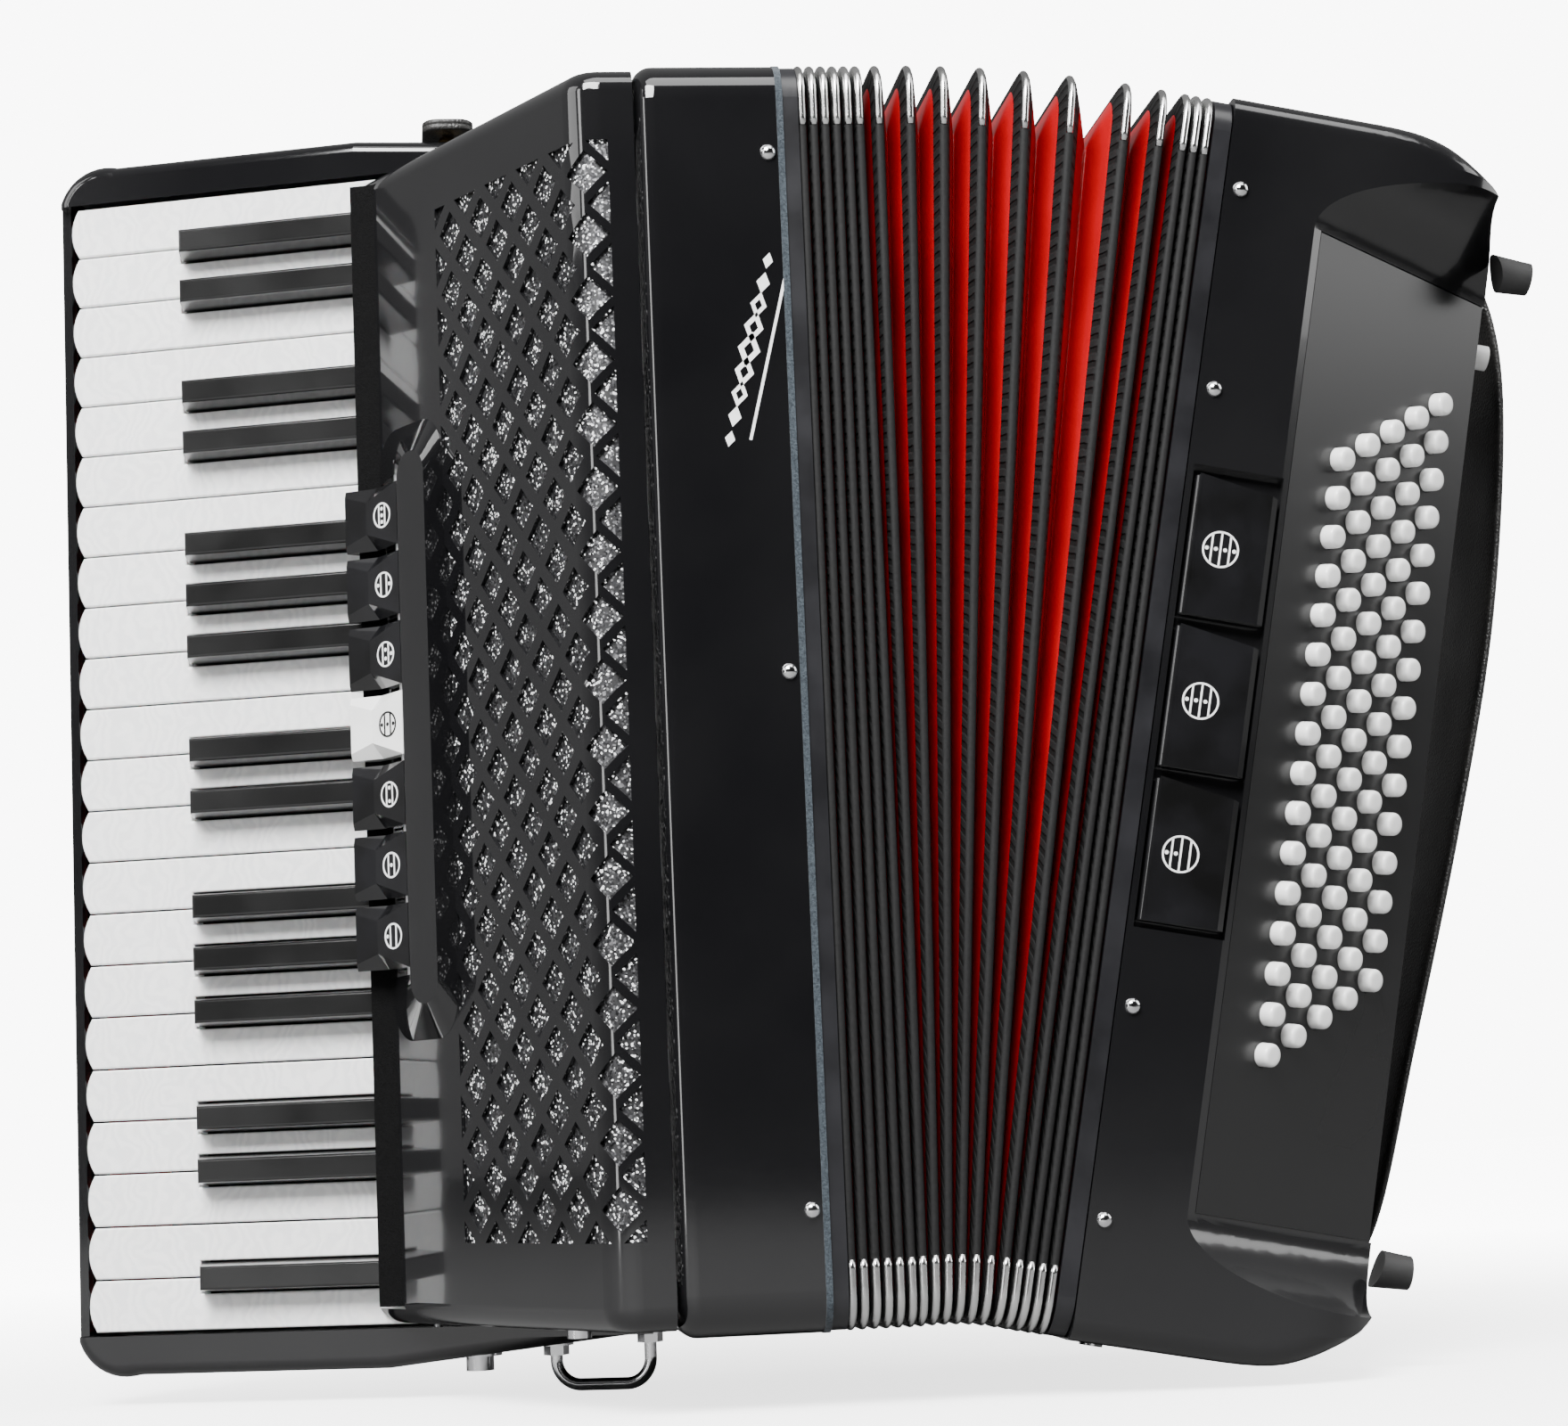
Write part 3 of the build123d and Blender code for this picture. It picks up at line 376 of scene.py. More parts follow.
def dress_nodes(looks):
    """Gives every CAD node its material; a node that no rule names gets the look of the black tabs."""
    chosen = {node: look for look, group in NODE_LOOKS.items() for node in group}
    for name, obj in nodes.items():
        look = chosen.get(name)
        if look is None and name.startswith("keys_"):
            look = "ebony" if name.endswith("sharp") else "pearl"
        if look is None and name.startswith("bass_buttons"):
            look = "white"
        if look is None:
            look = "tab"
        obj.data.materials.clear()
        obj.data.materials.append(looks[look])


# ---------------------------------------------------------------- mesh helpers

def mesh_piece(name, points, faces, look, smooth=True, uvs=None):
    """Object from points and faces, with one UV pair for each point if given."""
    mesh = bpy.data.meshes.new(name)
    mesh.from_pydata([tuple(p) for p in points], [], faces)
    mesh.update()
    if uvs:
        layer = mesh.uv_layers.new(name="UVMap")
        for loop in mesh.loops:
            layer.data[loop.index].uv = uvs[loop.vertex_index]
    obj = bpy.data.objects.new(name, mesh)
    bpy.context.scene.collection.objects.link(obj)
    mesh.materials.append(look)
    if smooth:
        mesh.polygons.foreach_set("use_smooth", [True] * len(mesh.polygons))
    return obj


def grid_faces(rows, columns, closed_rows=False, closed_columns=False, start=0):
    """Quads over a grid of points stored row by row."""
    faces = []
    for r in range(rows if closed_rows else rows - 1):
        for c in range(columns if closed_columns else columns - 1):
            r2 = (r + 1) % rows
            c2 = (c + 1) % columns
            low, high = start + r * columns, start + r2 * columns
            faces.append((low + c, low + c2, high + c2, high + c))
    return faces


class Builder:
    """Collects points, faces, UVs and bending weights of one piece."""

    def __init__(self):
        self.points = []
        self.faces = []
        self.uvs = []
        self.weights = []

    def add_grid(self, rows, closed_rows=False, closed_columns=False, cap=False):
        """Adds a grid from rows of (point, uv, weight); cap closes the first and the last row."""
        start = len(self.points)
        width = len(rows[0])
        for row in rows:
            for point, uv, weight in row:
                self.points.append(point)
                self.uvs.append(uv)
                self.weights.append(weight)
        self.faces += grid_faces(len(rows), width, closed_rows, closed_columns, start)
        if cap:
            self.faces.append(tuple(start + c for c in reversed(range(width))))
            last = start + (len(rows) - 1) * width
            self.faces.append(tuple(last + c for c in range(width)))

    def finish(self, name, look, smooth=True):
        return mesh_piece(name, self.points, self.faces, look, smooth, self.uvs)


# ---------------------------------------------------------------- bellows

def fan_share(index):
    """How much of the fan angle a ridge has turned, from ridge 6 to ridge 15."""
    if index <= RIDGE_A:
        return 0.0
    if index >= RIDGE_B:
        return 1.0
    return sum(FOLD_SHARES[: index - RIDGE_A]) / sum(FOLD_SHARES)


def ridge_place(index):
    """Matrix of a ridge plane at rest; 0 and 18 are the two bellows frames."""
    if index == TREBLE_FRAME:
        return Matrix.Translation((FRAME_T_X, 0, 0))
    if index <= RIDGE_A:
        x = FIRST_RIDGE_X + (RIDGE_A_X - FIRST_RIDGE_X) * (index - 1) / (RIDGE_A - 1)
        return Matrix.Translation((x, 0, 0))
    if index == BASS_FRAME:
        return BASS_PLACE @ Matrix.Translation((FRAME_B_X, 0, 0))
    if index > RIDGE_B:
        x = RIDGE_B_BASS_X + BASS_RIDGE_STEP * (index - RIDGE_B)
        return BASS_PLACE @ Matrix.Translation((x, 0, 0))
    closed = RIDGE_A_X + (RIDGE_B_CLOSED_X - RIDGE_A_X) * (index - RIDGE_A) / (RIDGE_B - RIDGE_A)
    to = Matrix.Translation(FAN_PIVOT)
    back = Matrix.Translation(-FAN_PIVOT)
    return to @ Matrix.Rotation(FAN * fan_share(index), 4, "Y") @ back @ Matrix.Translation((closed, 0, 0))


def ridge_weight(index):
    """Bending weight of a ridge between the two bodies of its group."""
    if index == TREBLE_FRAME:
        return 0.0
    if index <= RIDGE_A:
        return (index - 1 + FRAME_STEP) / (RIDGE_A - 1 + FRAME_STEP)
    if index <= RIDGE_B:
        return fan_share(index)
    if index == BASS_FRAME:
        return 1.0
    return BASS_RIDGE_STEP * (index - RIDGE_B) / (FRAME_B_X - RIDGE_B_BASS_X)


def outline(depth, per_corner=7, per_long=26, per_short=12):
    """Points (y, z, distance round) of the bellows outline, set in by a depth."""
    hy = BELLOWS_HALF_Y - depth
    hz = BELLOWS_HALF_Z - depth
    r = max(BELLOWS_RADIUS - 0.45 * depth, 0.0015)
    points = []
    corners = [(1, 1, 0), (-1, 1, 90), (-1, -1, 180), (1, -1, 270)]
    for number, (sy, sz, start) in enumerate(corners):
        cy = sy * (hy - r)
        cz = sz * (hz - r)
        for step in range(per_corner):
            angle = radians(start + 90 * step / (per_corner - 1))
            points.append((cy + r * cos(angle), cz + r * sin(angle)))
        ny, nz, nstart = corners[(number + 1) % 4]
        ey, ez = ny * (hy - r) + r * cos(radians(nstart)), nz * (hz - r) + r * sin(radians(nstart))
        count = per_short if number % 2 == 0 else per_long
        py, pz = points[-1]
        for step in range(1, count):
            t = step / count
            points.append((py + (ey - py) * t, pz + (ez - pz) * t))
    out = []
    walked = 0.0
    for k, (y, z) in enumerate(points):
        if k:
            walked += sqrt((y - points[k - 1][0]) ** 2 + (z - points[k - 1][1]) ** 2)
        out.append((y, z, walked))
    return out


ROUND = [spot[2] for spot in outline(0)]  # distance round the edge, kept for the UVs at every depth


def lean(depth):
    """How far across its gap the wall of a fold has come at a depth; the valley is at half."""
    return 0.5 * (depth / FOLD_DEPTH) ** 0.92


def section_row(left, right, share, depth, swell=0.0):
    """One closed row of points round the bellows, at a share of the gap between two ridges."""
    place_l, half_l = ridge_place(left), RIDGE_HALF if TREBLE_FRAME < left < BASS_FRAME else 0.0
    place_r, half_r = ridge_place(right), RIDGE_HALF if TREBLE_FRAME < right < BASS_FRAME else 0.0
    weight_l = 0.0 if left in (RIDGE_A, RIDGE_B) else ridge_weight(left)
    weight_r = ridge_weight(right)
    row = []
    for (y, z, _), walked in zip(outline(depth), ROUND):
        a = place_l @ Vector((half_l + swell, y, z))
        b = place_r @ Vector((-half_r - swell, y, z))
        weight = weight_l + (weight_r - weight_l) * share
        row.append((a.lerp(b, share), (walked, depth), weight))
    return row


def pleat_rows(left, right):
    """Rows of the red card from one ridge down to the valley and up to the next."""
    steps = 7
    depths = [CARD_START + (FOLD_DEPTH - CARD_START) * k / steps for k in range(steps + 1)]
    rows = [section_row(left, right, lean(depth), depth) for depth in depths]
    rows += [section_row(left, right, 1 - lean(depth), depth) for depth in reversed(depths[:-1])]
    return rows


def tape_rows(index):
    """Rows of the tape folded over one ridge: up one side, over the edge and down the other."""
    depths = (0.0009, 0.0022, 0.0042, TAPE_DEPTH)
    rows = [section_row(index - 1, index, 1 - lean(depth), depth, TAPE_SWELL) for depth in reversed(depths)]
    place = ridge_place(index)
    weight = ridge_weight(index)
    for x, depth in ((-0.0012, 0.0002), (-0.0006, -0.0003), (0.0006, -0.0003), (0.0012, 0.0002)):
        spots = zip(outline(depth), ROUND)
        rows.append([(place @ Vector((x, y, z)), (walked, 0.0), weight) for (y, z, _), walked in spots])
    rows += [section_row(index, index + 1, lean(depth), depth, TAPE_SWELL) for depth in depths]
    return rows


def corner_path(sy, sz, offset):
    """Points (y, z) of a corner cap, from the leg on the long side to the leg on the short side."""
    half_y = BELLOWS_HALF_Y - offset
    half_z = BELLOWS_HALF_Z - offset
    r = BELLOWS_RADIUS - offset
    points = [(half_y, half_z - r - CORNER_LEG_LONG * (1 - k / 4)) for k in range(4)]
    for step in range(11):
        angle = radians(90 * step / 10)
        points.append((half_y - r + r * cos(angle), half_z - r + r * sin(angle)))
    points += [(half_y - r - CORNER_LEG_SHORT * k / 4, half_z) for k in range(1, 5)]
    return [(sy * y, sz * z) for y, z in points]


def corner_rows(index, sy, sz):
    """Closed bar with a rounded channel section that caps one corner of one ridge."""
    place = ridge_place(index)
    weight = ridge_weight(index)
    half = CORNER_HALF
    section = [(-half, 0.0052), (-half, 0.0012), (-half * 0.8, 0.0), (-half * 0.4, -0.00055), (0, -0.0007)]
    section += [(half * 0.4, -0.00055), (half * 0.8, 0.0), (half, 0.0012), (half, 0.0052)]
    paths = [corner_path(sy, sz, depth) for _, depth in section]
    rows = []
    for k in range(len(paths[0])):
        row = []
        for (x, _), path in zip(section, paths):
            y, z = path[k]
            row.append((place @ Vector((x, y, z)), (0.0, 0.0), weight))
        rows.append(row if sy * sz > 0 else list(reversed(row)))
    return rows


def blended(obj):
    """Bakes the transform of a bellows piece into its mesh."""
    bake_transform(obj)
    return obj


def make_bellows(looks):
    """Red pleats, tape and corner metals: three groups built in place, and two ridges that are attached to
    bodies.
    """
    groups = [
        ("treble", TREBLE_FRAME, RIDGE_A, "treble_side", "ridge_a", "bellows_folds_treble"),
        ("middle", RIDGE_A, RIDGE_B, "ridge_a", "ridge_b", "bellows_folds_middle"),
        ("bass", RIDGE_B, BASS_FRAME, "ridge_b", "bass_side", "bellows_folds_bass"),
    ]
    for name, low, high, first, second, node in groups:
        pleats = Builder()
        for gap in range(low, high):
            pleats.add_grid(pleat_rows(gap, gap + 1), closed_columns=True)
        obj = pleats.finish(f"bellows_pleats_{name}", looks["red"])
        solid = obj.modifiers.new("card", "SOLIDIFY")
        solid.thickness = CARD_THICKNESS
        solid.offset = 0
        blended(obj)
        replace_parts(obj, node)
        tapes = Builder()
        caps = Builder()
        for index in range(low + 1, high):
            tapes.add_grid(tape_rows(index), closed_columns=True)
            add_corners(caps, index)
        obj = tapes.finish(f"bellows_tape_{name}", looks["tape"])
        blended(obj)
        obj = caps.finish(f"bellows_corners_{name}", looks["nickel"])
        blended(obj)
    for index, body in ((RIDGE_A, "ridge_a"), (RIDGE_B, "ridge_b")):
        tapes = Builder()
        tapes.add_grid(tape_rows(index), closed_columns=True)
        obj = tapes.finish(f"bellows_tape_{body}", looks["tape"])
        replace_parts(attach(obj, body), f"bellows_{body}")
        caps = Builder()
        add_corners(caps, index)
        obj = caps.finish(f"bellows_corners_{body}", looks["nickel"])
        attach(obj, body)


def add_corners(builder, index):
    """Adds the four corner metals of one ridge."""
    for sy in (-1, 1):
        for sz in (-1, 1):
            builder.add_grid(corner_rows(index, sy, sz), closed_columns=True, cap=True)


# ---------------------------------------------------------------- inlays

HOOD_FOOT = Vector((-0.1352, 0.0249, 0))
HOOD_RISE = Vector((0.0676, -0.1249, 0))
INLAY_THICKNESS = 0.00016


def slope_frame():
    """Frame on the hood's slope: x up the slope from its foot, y along the keyboard, z outwards."""
    along = HOOD_RISE.normalized()
    out = Vector((along.y, -along.x, 0))
    side = out.cross(along)
    matrix = Matrix((along, side, out)).transposed().to_4x4()
    return Matrix.Translation(HOOD_FOOT) @ matrix


def inlay(name, place, shapes, look, body):
    """Flat shapes, each an outline and an optional inner outline, set on a surface."""
    points = []
    faces = []
    for outer, inner in shapes:
        start = len(points)
        count = len(outer)
        if inner:
            for z in (0.0, INLAY_THICKNESS):
                points += [place @ Vector((x, y, z)) for x, y in outer]
                points += [place @ Vector((x, y, z)) for x, y in inner]
            for k in range(count):
                n = (k + 1) % count
                low_o, low_i, up_o, up_i = start, start + count, start + 2 * count, start + 3 * count
                faces.append((up_o + k, up_o + n, up_i + n, up_i + k))
                faces.append((low_o + n, low_o + k, low_i + k, low_i + n))
                faces.append((low_o + k, low_o + n, up_o + n, up_o + k))
                faces.append((low_i + n, low_i + k, up_i + k, up_i + n))
        else:
            for z in (0.0, INLAY_THICKNESS):
                points += [place @ Vector((x, y, z)) for x, y in outer]
            faces.append(tuple(start + count + k for k in range(count)))
            faces.append(tuple(start + k for k in reversed(range(count))))
            for k in range(count):
                n = (k + 1) % count
                faces.append((start + k, start + n, start + count + n, start + count + k))
    obj = mesh_piece(name, points, faces, look, smooth=False)
    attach(obj, body)
    return obj


def circle(radius, x=0.0, y=0.0, count=40):
    turns = [2 * pi * k / count for k in range(count)]
    return [(x + radius * cos(turn), y + radius * sin(turn)) for turn in turns]


def bar(x, half_length, half_width):
    """Upright bar centred at a distance x to the side."""
    w, h = half_width, half_length
    return [(x - w, -h), (x + w, -h), (x + w, h), (x - w, h)]


SIGN_LINE = 0.00065


def register_sign(radius, bars, dots):
    """Ring with upright bars and dots, the usual register sign. Returns a list of shapes."""
    shapes = [(circle(radius), circle(radius - SIGN_LINE))]
    for x in bars:
        length = sqrt(max(radius**2 - x**2, 0)) - SIGN_LINE * 0.5
        shapes.append((bar(x, length, SIGN_LINE / 2), None))
    for x, y in dots:
        shapes.append((circle(SIGN_LINE * 1.05, x, y, 14), None))
    return shapes


# Dots of the seven treble signs, from the top of the keyboard down
SIGN_DOTS = (
    [(0, 0.0024), (0, 0), (0, -0.0024)],
    [(-0.0031, 0), (0.0031, 0)],
    [(0, 0.0016), (0, -0.0016), (0.0031, 0)],
    [(-0.0031, 0), (0, 0), (0.0031, 0)],
    [(0, 0.0024), (0, -0.0024)],
    [(0, 0)],
    [(-0.0031, 0)],
)


def make_signs(looks):
    """Signs on the seven treble tabs, of which the middle one is white, and on the three bass tabs."""
    slope = slope_frame()
    middle = 4
    tab_pitch, middle_z = 0.0252, 0.0024
    tab_s, tab_top, tab_lean = 0.0156, 0.00864, radians(11.7)
    for number, dots in enumerate(SIGN_DOTS, start=1):
        z = middle_z + (middle - number) * tab_pitch
        top = slope @ Matrix.Translation((tab_s, z, tab_top)) @ Matrix.Rotation(tab_lean, 4, "Y")
        shapes = register_sign(0.00465, (-0.00155, 0.00155), dots)
        look = looks["ink_black"] if number == middle else looks["ink_white"]
        inlay(f"register_sign_{number}", top, shapes, look, f"register_{number}")
    upright = Matrix.Rotation(radians(90), 4, "X")
    bass_x, bass_front, bass_lean = 0.0145, -0.10138, radians(-2.02)
    for number, z in enumerate((0.055, 0.003, -0.049), start=1):
        place = BASS_PLACE @ Matrix.Translation((bass_x, bass_front, z - 0.001)) @ upright
        place = place @ Matrix.Rotation(bass_lean, 4, "Y")
        dots = [(-0.0047, 0), (-0.0016, 0), (0.0016, 0), (0.0047, 0)][: 5 - number]
        shapes = register_sign(0.0063, (-0.0031, 0.0, 0.0031), dots)
        name = f"bass_register_sign_{number}"
        inlay(name, place, shapes, looks["ink_white"], f"bass_register_{number}")


def make_ornament(looks):
    """Row of small lozenges along a thin line on the treble casing's front."""
    front = -HALF_DEPTH - 0.00002
    pitch, middle_size, taper = 0.0078, 0.0062, 0.00085
    place = Matrix.Translation((-0.0125, front, 0.112)) @ Matrix.Rotation(radians(90), 4, "X")
    place = place @ Matrix.Rotation(radians(-14), 4, "Z")
    shapes = []
    for k in range(-4, 5):
        size = middle_size - taper * abs(k)
        y = pitch * k
        outer = [(0, y - size), (size * 0.62, y), (0, y + size), (-size * 0.62, y)]
        inner = [(0, y - size * 0.45), (size * 0.28, y), (0, y + size * 0.45), (-size * 0.28, y)]
        shapes.append((outer, inner if abs(k) < 3 else None))
    shapes.append((bar(0.0068, 0.03, 0.0005), None))
    inlay("casing_ornament", place, shapes, looks["ink_white"], "treble_side")


# ---------------------------------------------------------------- bass buttons

BUTTON_ROWS = ("counterbass", "fundamental", "major", "minor", "seventh")
BUTTONS_PER_ROW = 16
FIRST_ROW, ROW_PITCH, ROW_SLANT = 0.0237, 0.0124, 0.0082
FIRST_BUTTON, BUTTON_PITCH = -0.1104, 0.01375
BOARD_PLACE = BASS_PLACE @ Matrix.Translation((0.0359, -0.0977, 0)) @ Matrix.Rotation(BOARD_TILT, 4, "Z")
# Radius and height over the board, from the foot in the board to the top
BUTTON_PROFILE = (
    (0.0038, -0.009), (0.0041, -0.0085), (0.0041, 0.0), (0.00402, 0.0036), (0.00385, 0.0043),
    (0.0035, 0.00475), (0.0029, 0.00495), (0.0018, 0.005), (0.0006, 0.005),
)


def make_buttons(looks):
    """Turned white caps, slightly tapered and rounded over at the top, one piece for each row."""
    for row, name in enumerate(BUTTON_ROWS):
        builder = Builder()
        across = FIRST_ROW + ROW_PITCH * row
        for number in range(BUTTONS_PER_ROW):
            height = FIRST_BUTTON + ROW_SLANT * row + BUTTON_PITCH * number
            rows = []
            for radius, rise in BUTTON_PROFILE:
                spots = circle(radius, count=32)
                ring = [(Vector((across + x, -rise, height + z)), (x, z)) for x, z in spots]
                rows.append([(BOARD_PLACE @ point, uv, 0.0) for point, uv in ring])
            builder.add_grid(rows, closed_columns=True, cap=True)
        caps = builder.finish(f"button_caps_{name}", looks["white"])
        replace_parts(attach(caps, f"buttons_{name}"), f"bass_buttons_{name}")


# ---------------------------------------------------------------- leather straps and studs

STITCH_PITCH = 0.0038
STITCH_RADIUS = 0.00028
# Share of the radius and share of the height, from the rim to the top of the dome
STUD_LEVELS = (
    (1.0, 0.0), (1.0, 0.18), (0.93, 0.3), (0.86, 0.3), (0.8, 0.5), (0.6, 0.82), (0.35, 0.97), (0.08, 1.0),
)
# Distance along the thread and share of its radius
THREAD_LEVELS = ((-0.0011, 0.25), (-0.0007, 0.9), (0.0007, 0.9), (0.0011, 0.25))
THREAD_TURNS = (0, 1.257, 2.513, 3.77, 5.027)  # five points round the thread


def rounded_outline(half_x, half_y, radius, inset):
    """Points of a rounded rectangle, set in from its edge."""
    hx, hy, r = half_x - inset, half_y - inset, max(radius - inset, 0.0004)
    points = []
    for sx, sy, start in ((1, 1, 0), (-1, 1, 90), (-1, -1, 180), (1, -1, 270)):
        for step in range(9):
            angle = radians(start + 90 * step / 8)
            points.append((sx * (hx - r) + r * cos(angle), sy * (hy - r) + r * sin(angle)))
    return points


def pad(name, place, half_x, half_y, radius, profile, look, body):
    """Rounded pad built from levels: each level is an inset and a height."""
    builder = Builder()
    rows = []
    for inset, height in profile:
        spots = rounded_outline(half_x, half_y, radius, inset)
        rows.append([(place @ Vector((x, y, height)), (x, y), 0.0) for x, y in spots])
    builder.add_grid(rows, closed_columns=True, cap=True)
    obj = builder.finish(name, look)
    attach(obj, body)
    return obj


def stud(name, place, radius, height, look, body, stretch=1.0):
    """Domed stud with a shallow rim."""
    builder = Builder()
    rows = []
    for share, rise in STUD_LEVELS:
        spots = circle(radius * share, count=28)
        rows.append([(place @ Vector((x * stretch, y, height * rise)), (x, y), 0.0) for x, y in spots])
    builder.add_grid(rows, closed_columns=True, cap=True)
    obj = builder.finish(name, look)
    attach(obj, body)
    return obj


def stitches(name, path, look, body):
    """Row of short raised threads; each place on the path has x along the row and z outwards."""
    builder = Builder()
    for place in path:
        rows = []
        for x, size in THREAD_LEVELS:
            radius = STITCH_RADIUS * size
            ring = [Vector((x, radius * cos(turn), radius * sin(turn))) for turn in THREAD_TURNS]
            rows.append([(place @ point, (0, 0), 0.0) for point in ring])
        builder.add_grid(rows, closed_columns=True, cap=True)
    obj = builder.finish(name, look)
    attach(obj, body)
    return obj


def spline_value(p, q, r, u, t):
    """Catmull-Rom value between q and r, with p before and u after them."""
    return 0.5 * (2 * q + (r - p) * t + (2 * p - 5 * q + 4 * r - u) * t**2 + (3 * q - p - 3 * r + u) * t**3)


def spline_points(knots, per_span):
    """Smooth curve through the knots."""
    out = []
    last = len(knots) - 1
    for k in range(last):
        spans = list(zip(knots[max(k - 1, 0)], knots[k], knots[k + 1], knots[min(k + 2, last)]))
        for step in range(per_span):
            out.append(tuple(spline_value(*span, step / per_span) for span in spans))
    out.append(knots[last])
    return out


# Knots (x, z) of the hand strap in the bass side's frame, in millimetres
STRAP_PATH = [(92, 190), (104, 201), (122, 190), (135, 150), (141, 70), (138, -10), (131, -95), (125, -158)]
STRAP_PATH += [(112, -184), (99, -180)]
STRAP_MIDDLE_Y = 0.04
STRAP_HALF_WIDTH = 0.0396
STRAP_SEAM_Y = 0.034


def make_hand_strap(looks):
    """Padded leather hand strap with two rows of stitches, over the end of the bass casing."""
    line = [(x / 1000, z / 1000) for x, z in spline_points(STRAP_PATH, 10)]
    around = 28
    builder = Builder()
    rows = []
    seams = ([], [])
    for k, (x, z) in enumerate(line):
        before, after = line[max(k - 1, 0)], line[min(k + 1, len(line) - 1)]
        tangent = Vector((after[0] - before[0], 0, after[1] - before[1])).normalized()
        out = Vector((-tangent.z, 0, tangent.x))
        share = k / (len(line) - 1)
        swell = sin(pi * share) ** 1.5
        thick = 0.0018 + 0.0006 * swell
        row = []
        for step in range(around):
            angle = 2 * pi * step / around
            across = abs(cos(angle)) ** 0.35 * (1 if cos(angle) >= 0 else -1)
            rise = abs(sin(angle)) ** 0.7 * (1 if sin(angle) >= 0 else -1)
            y = STRAP_MIDDLE_Y + STRAP_HALF_WIDTH * across
            point = Vector((x, y, z)) + out * (thick * rise)
            row.append((BASS_PLACE @ point, (share, y), 0.0))
        rows.append(row)
        for side, seam in zip((-1, 1), seams):
            if 6 < k < len(line) - 7:
                spot = Vector((x, STRAP_MIDDLE_Y + side * STRAP_SEAM_Y, z)) + out * (thick * 0.8)
                turn = Matrix((tangent, out.cross(tangent), out)).transposed().to_4x4()
                seam.append((spot, turn))
    builder.add_grid(rows, closed_columns=True, cap=True)
    strap = builder.finish("hand_strap_leather", looks["leather"])
    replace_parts(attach(strap, "bass_side"), "bass_strap")
    for number, seam in enumerate(seams, start=1):
        places = []
        for (a, turn), (b, _) in zip(seam, seam[1:]):
            count = max(int((b - a).length / STITCH_PITCH), 1)
            for k in range(count):
                places.append(BASS_PLACE @ Matrix.Translation(a.lerp(b, k / count)) @ turn)
        stitches(f"hand_strap_stitches_{number}", places, looks["thread"], "bass_side")


# Inset from the edge and height, from the underside to the top
LEATHER_LEVELS = (
    (0.0015, 0.0), (0.0005, 0.0), (0.0, 0.0004), (0.0, 0.0019), (0.0005, 0.0024), (0.002, 0.00255),
    (0.0035, 0.00255),
)
TAB_LEVELS = (
    (0.0014, 0.0), (0.0004, 0.0), (0.0, 0.0004), (0.0, 0.0019), (0.0003, 0.00205), (0.0, 0.0022),
    (0.0, 0.0036), (0.0005, 0.004), (0.002, 0.0041), (0.0035, 0.0041),
)


def make_closing_straps(looks):
    """The two short leather straps that hold the bellows shut, each with two snap studs."""
    stitch_turn = Matrix.Rotation(pi / 2, 4, "Z")
    for side, name in ((1, "upper"), (-1, "lower")):
        flip = Matrix.Identity(4) if side > 0 else Matrix.Rotation(pi, 4, "Y")
        place = Matrix.Translation((-0.022, 0.022, side * (HALF_HEIGHT + 0.00005))) @ flip
        strap = pad(
            f"closing_strap_{name}", place, 0.0118, 0.0378, 0.008, LEATHER_LEVELS, looks["leather"],
            "treble_side",
        )
        if side > 0:
            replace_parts(strap, "bellows_straps")
        for y, radius, part in ((-0.026, 0.005, "socket"), (0.028, 0.004, "stud")):
            spot = place @ Matrix.Translation((0, y, 0.0025))
            stud_name = f"closing_strap_{name}_{part}"
            stud(stud_name, spot, radius, 0.0021, looks["nickel"], "treble_side")
        seam = []
        for x in (-0.0102, 0.0102):
            for k in range(17):
                spot = (x, -0.0304 + STITCH_PITCH * k, 0.0025)
                seam.append(place @ Matrix.Translation(spot) @ stitch_turn)
        stitches(f"closing_strap_{name}_stitches", seam, looks["thread"], "treble_side")


def make_strap_tab(looks):
    """Folded leather end of the shoulder strap on its brass stud."""
    low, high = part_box("upper_strap_tab")
    centre_x, centre_y = (low[0] + high[0]) / 2, (low[1] + high[1]) / 2
    thickness = TAB_LEVELS[-1][1]
    place = Matrix.Translation((centre_x, centre_y, high[2] - thickness))
    half_x, half_y = (high[0] - low[0]) / 2 - 0.0001, (high[1] - low[1]) / 2 - 0.0001
    tab = pad(
        "strap_tab_leather", place, half_x, half_y, 0.006, TAB_LEVELS, looks["leather"],
        "treble_side",
    )
    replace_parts(tab, "upper_strap_tab")
    base = Matrix.Translation((centre_x, low[1] + 0.011, low[2]))
    height = high[2] - low[2] - 0.0038
    stud("strap_tab_stud", base, 0.0042, height, looks["brass"], "treble_side", 1.15)
    stitch_turn = Matrix.Rotation(pi / 2, 4, "Z")
    seam = []
    for x in (centre_x - half_x + 0.0016, centre_x + half_x - 0.0016):
        for k in range(11):
            spot = (x, low[1] + 0.008 + STITCH_PITCH * k, high[2] - 0.00005)
            seam.append(Matrix.Translation(spot) @ stitch_turn)
    stitches("strap_tab_stitches", seam, looks["thread"], "treble_side")


# ---------------------------------------------------------------- camera, light and floor

CAMERA_SPOT = (-0.13882, -1.20724, -0.14545)
CAMERA_AZIMUTH, CAMERA_ELEVATION, CAMERA_ROLL = radians(-6.848), radians(-6.898), radians(-2.390)
CAMERA_LENS = 78.24
WHITE_STRENGTH = 9.0  # of the background, and of the floor where it fades into it


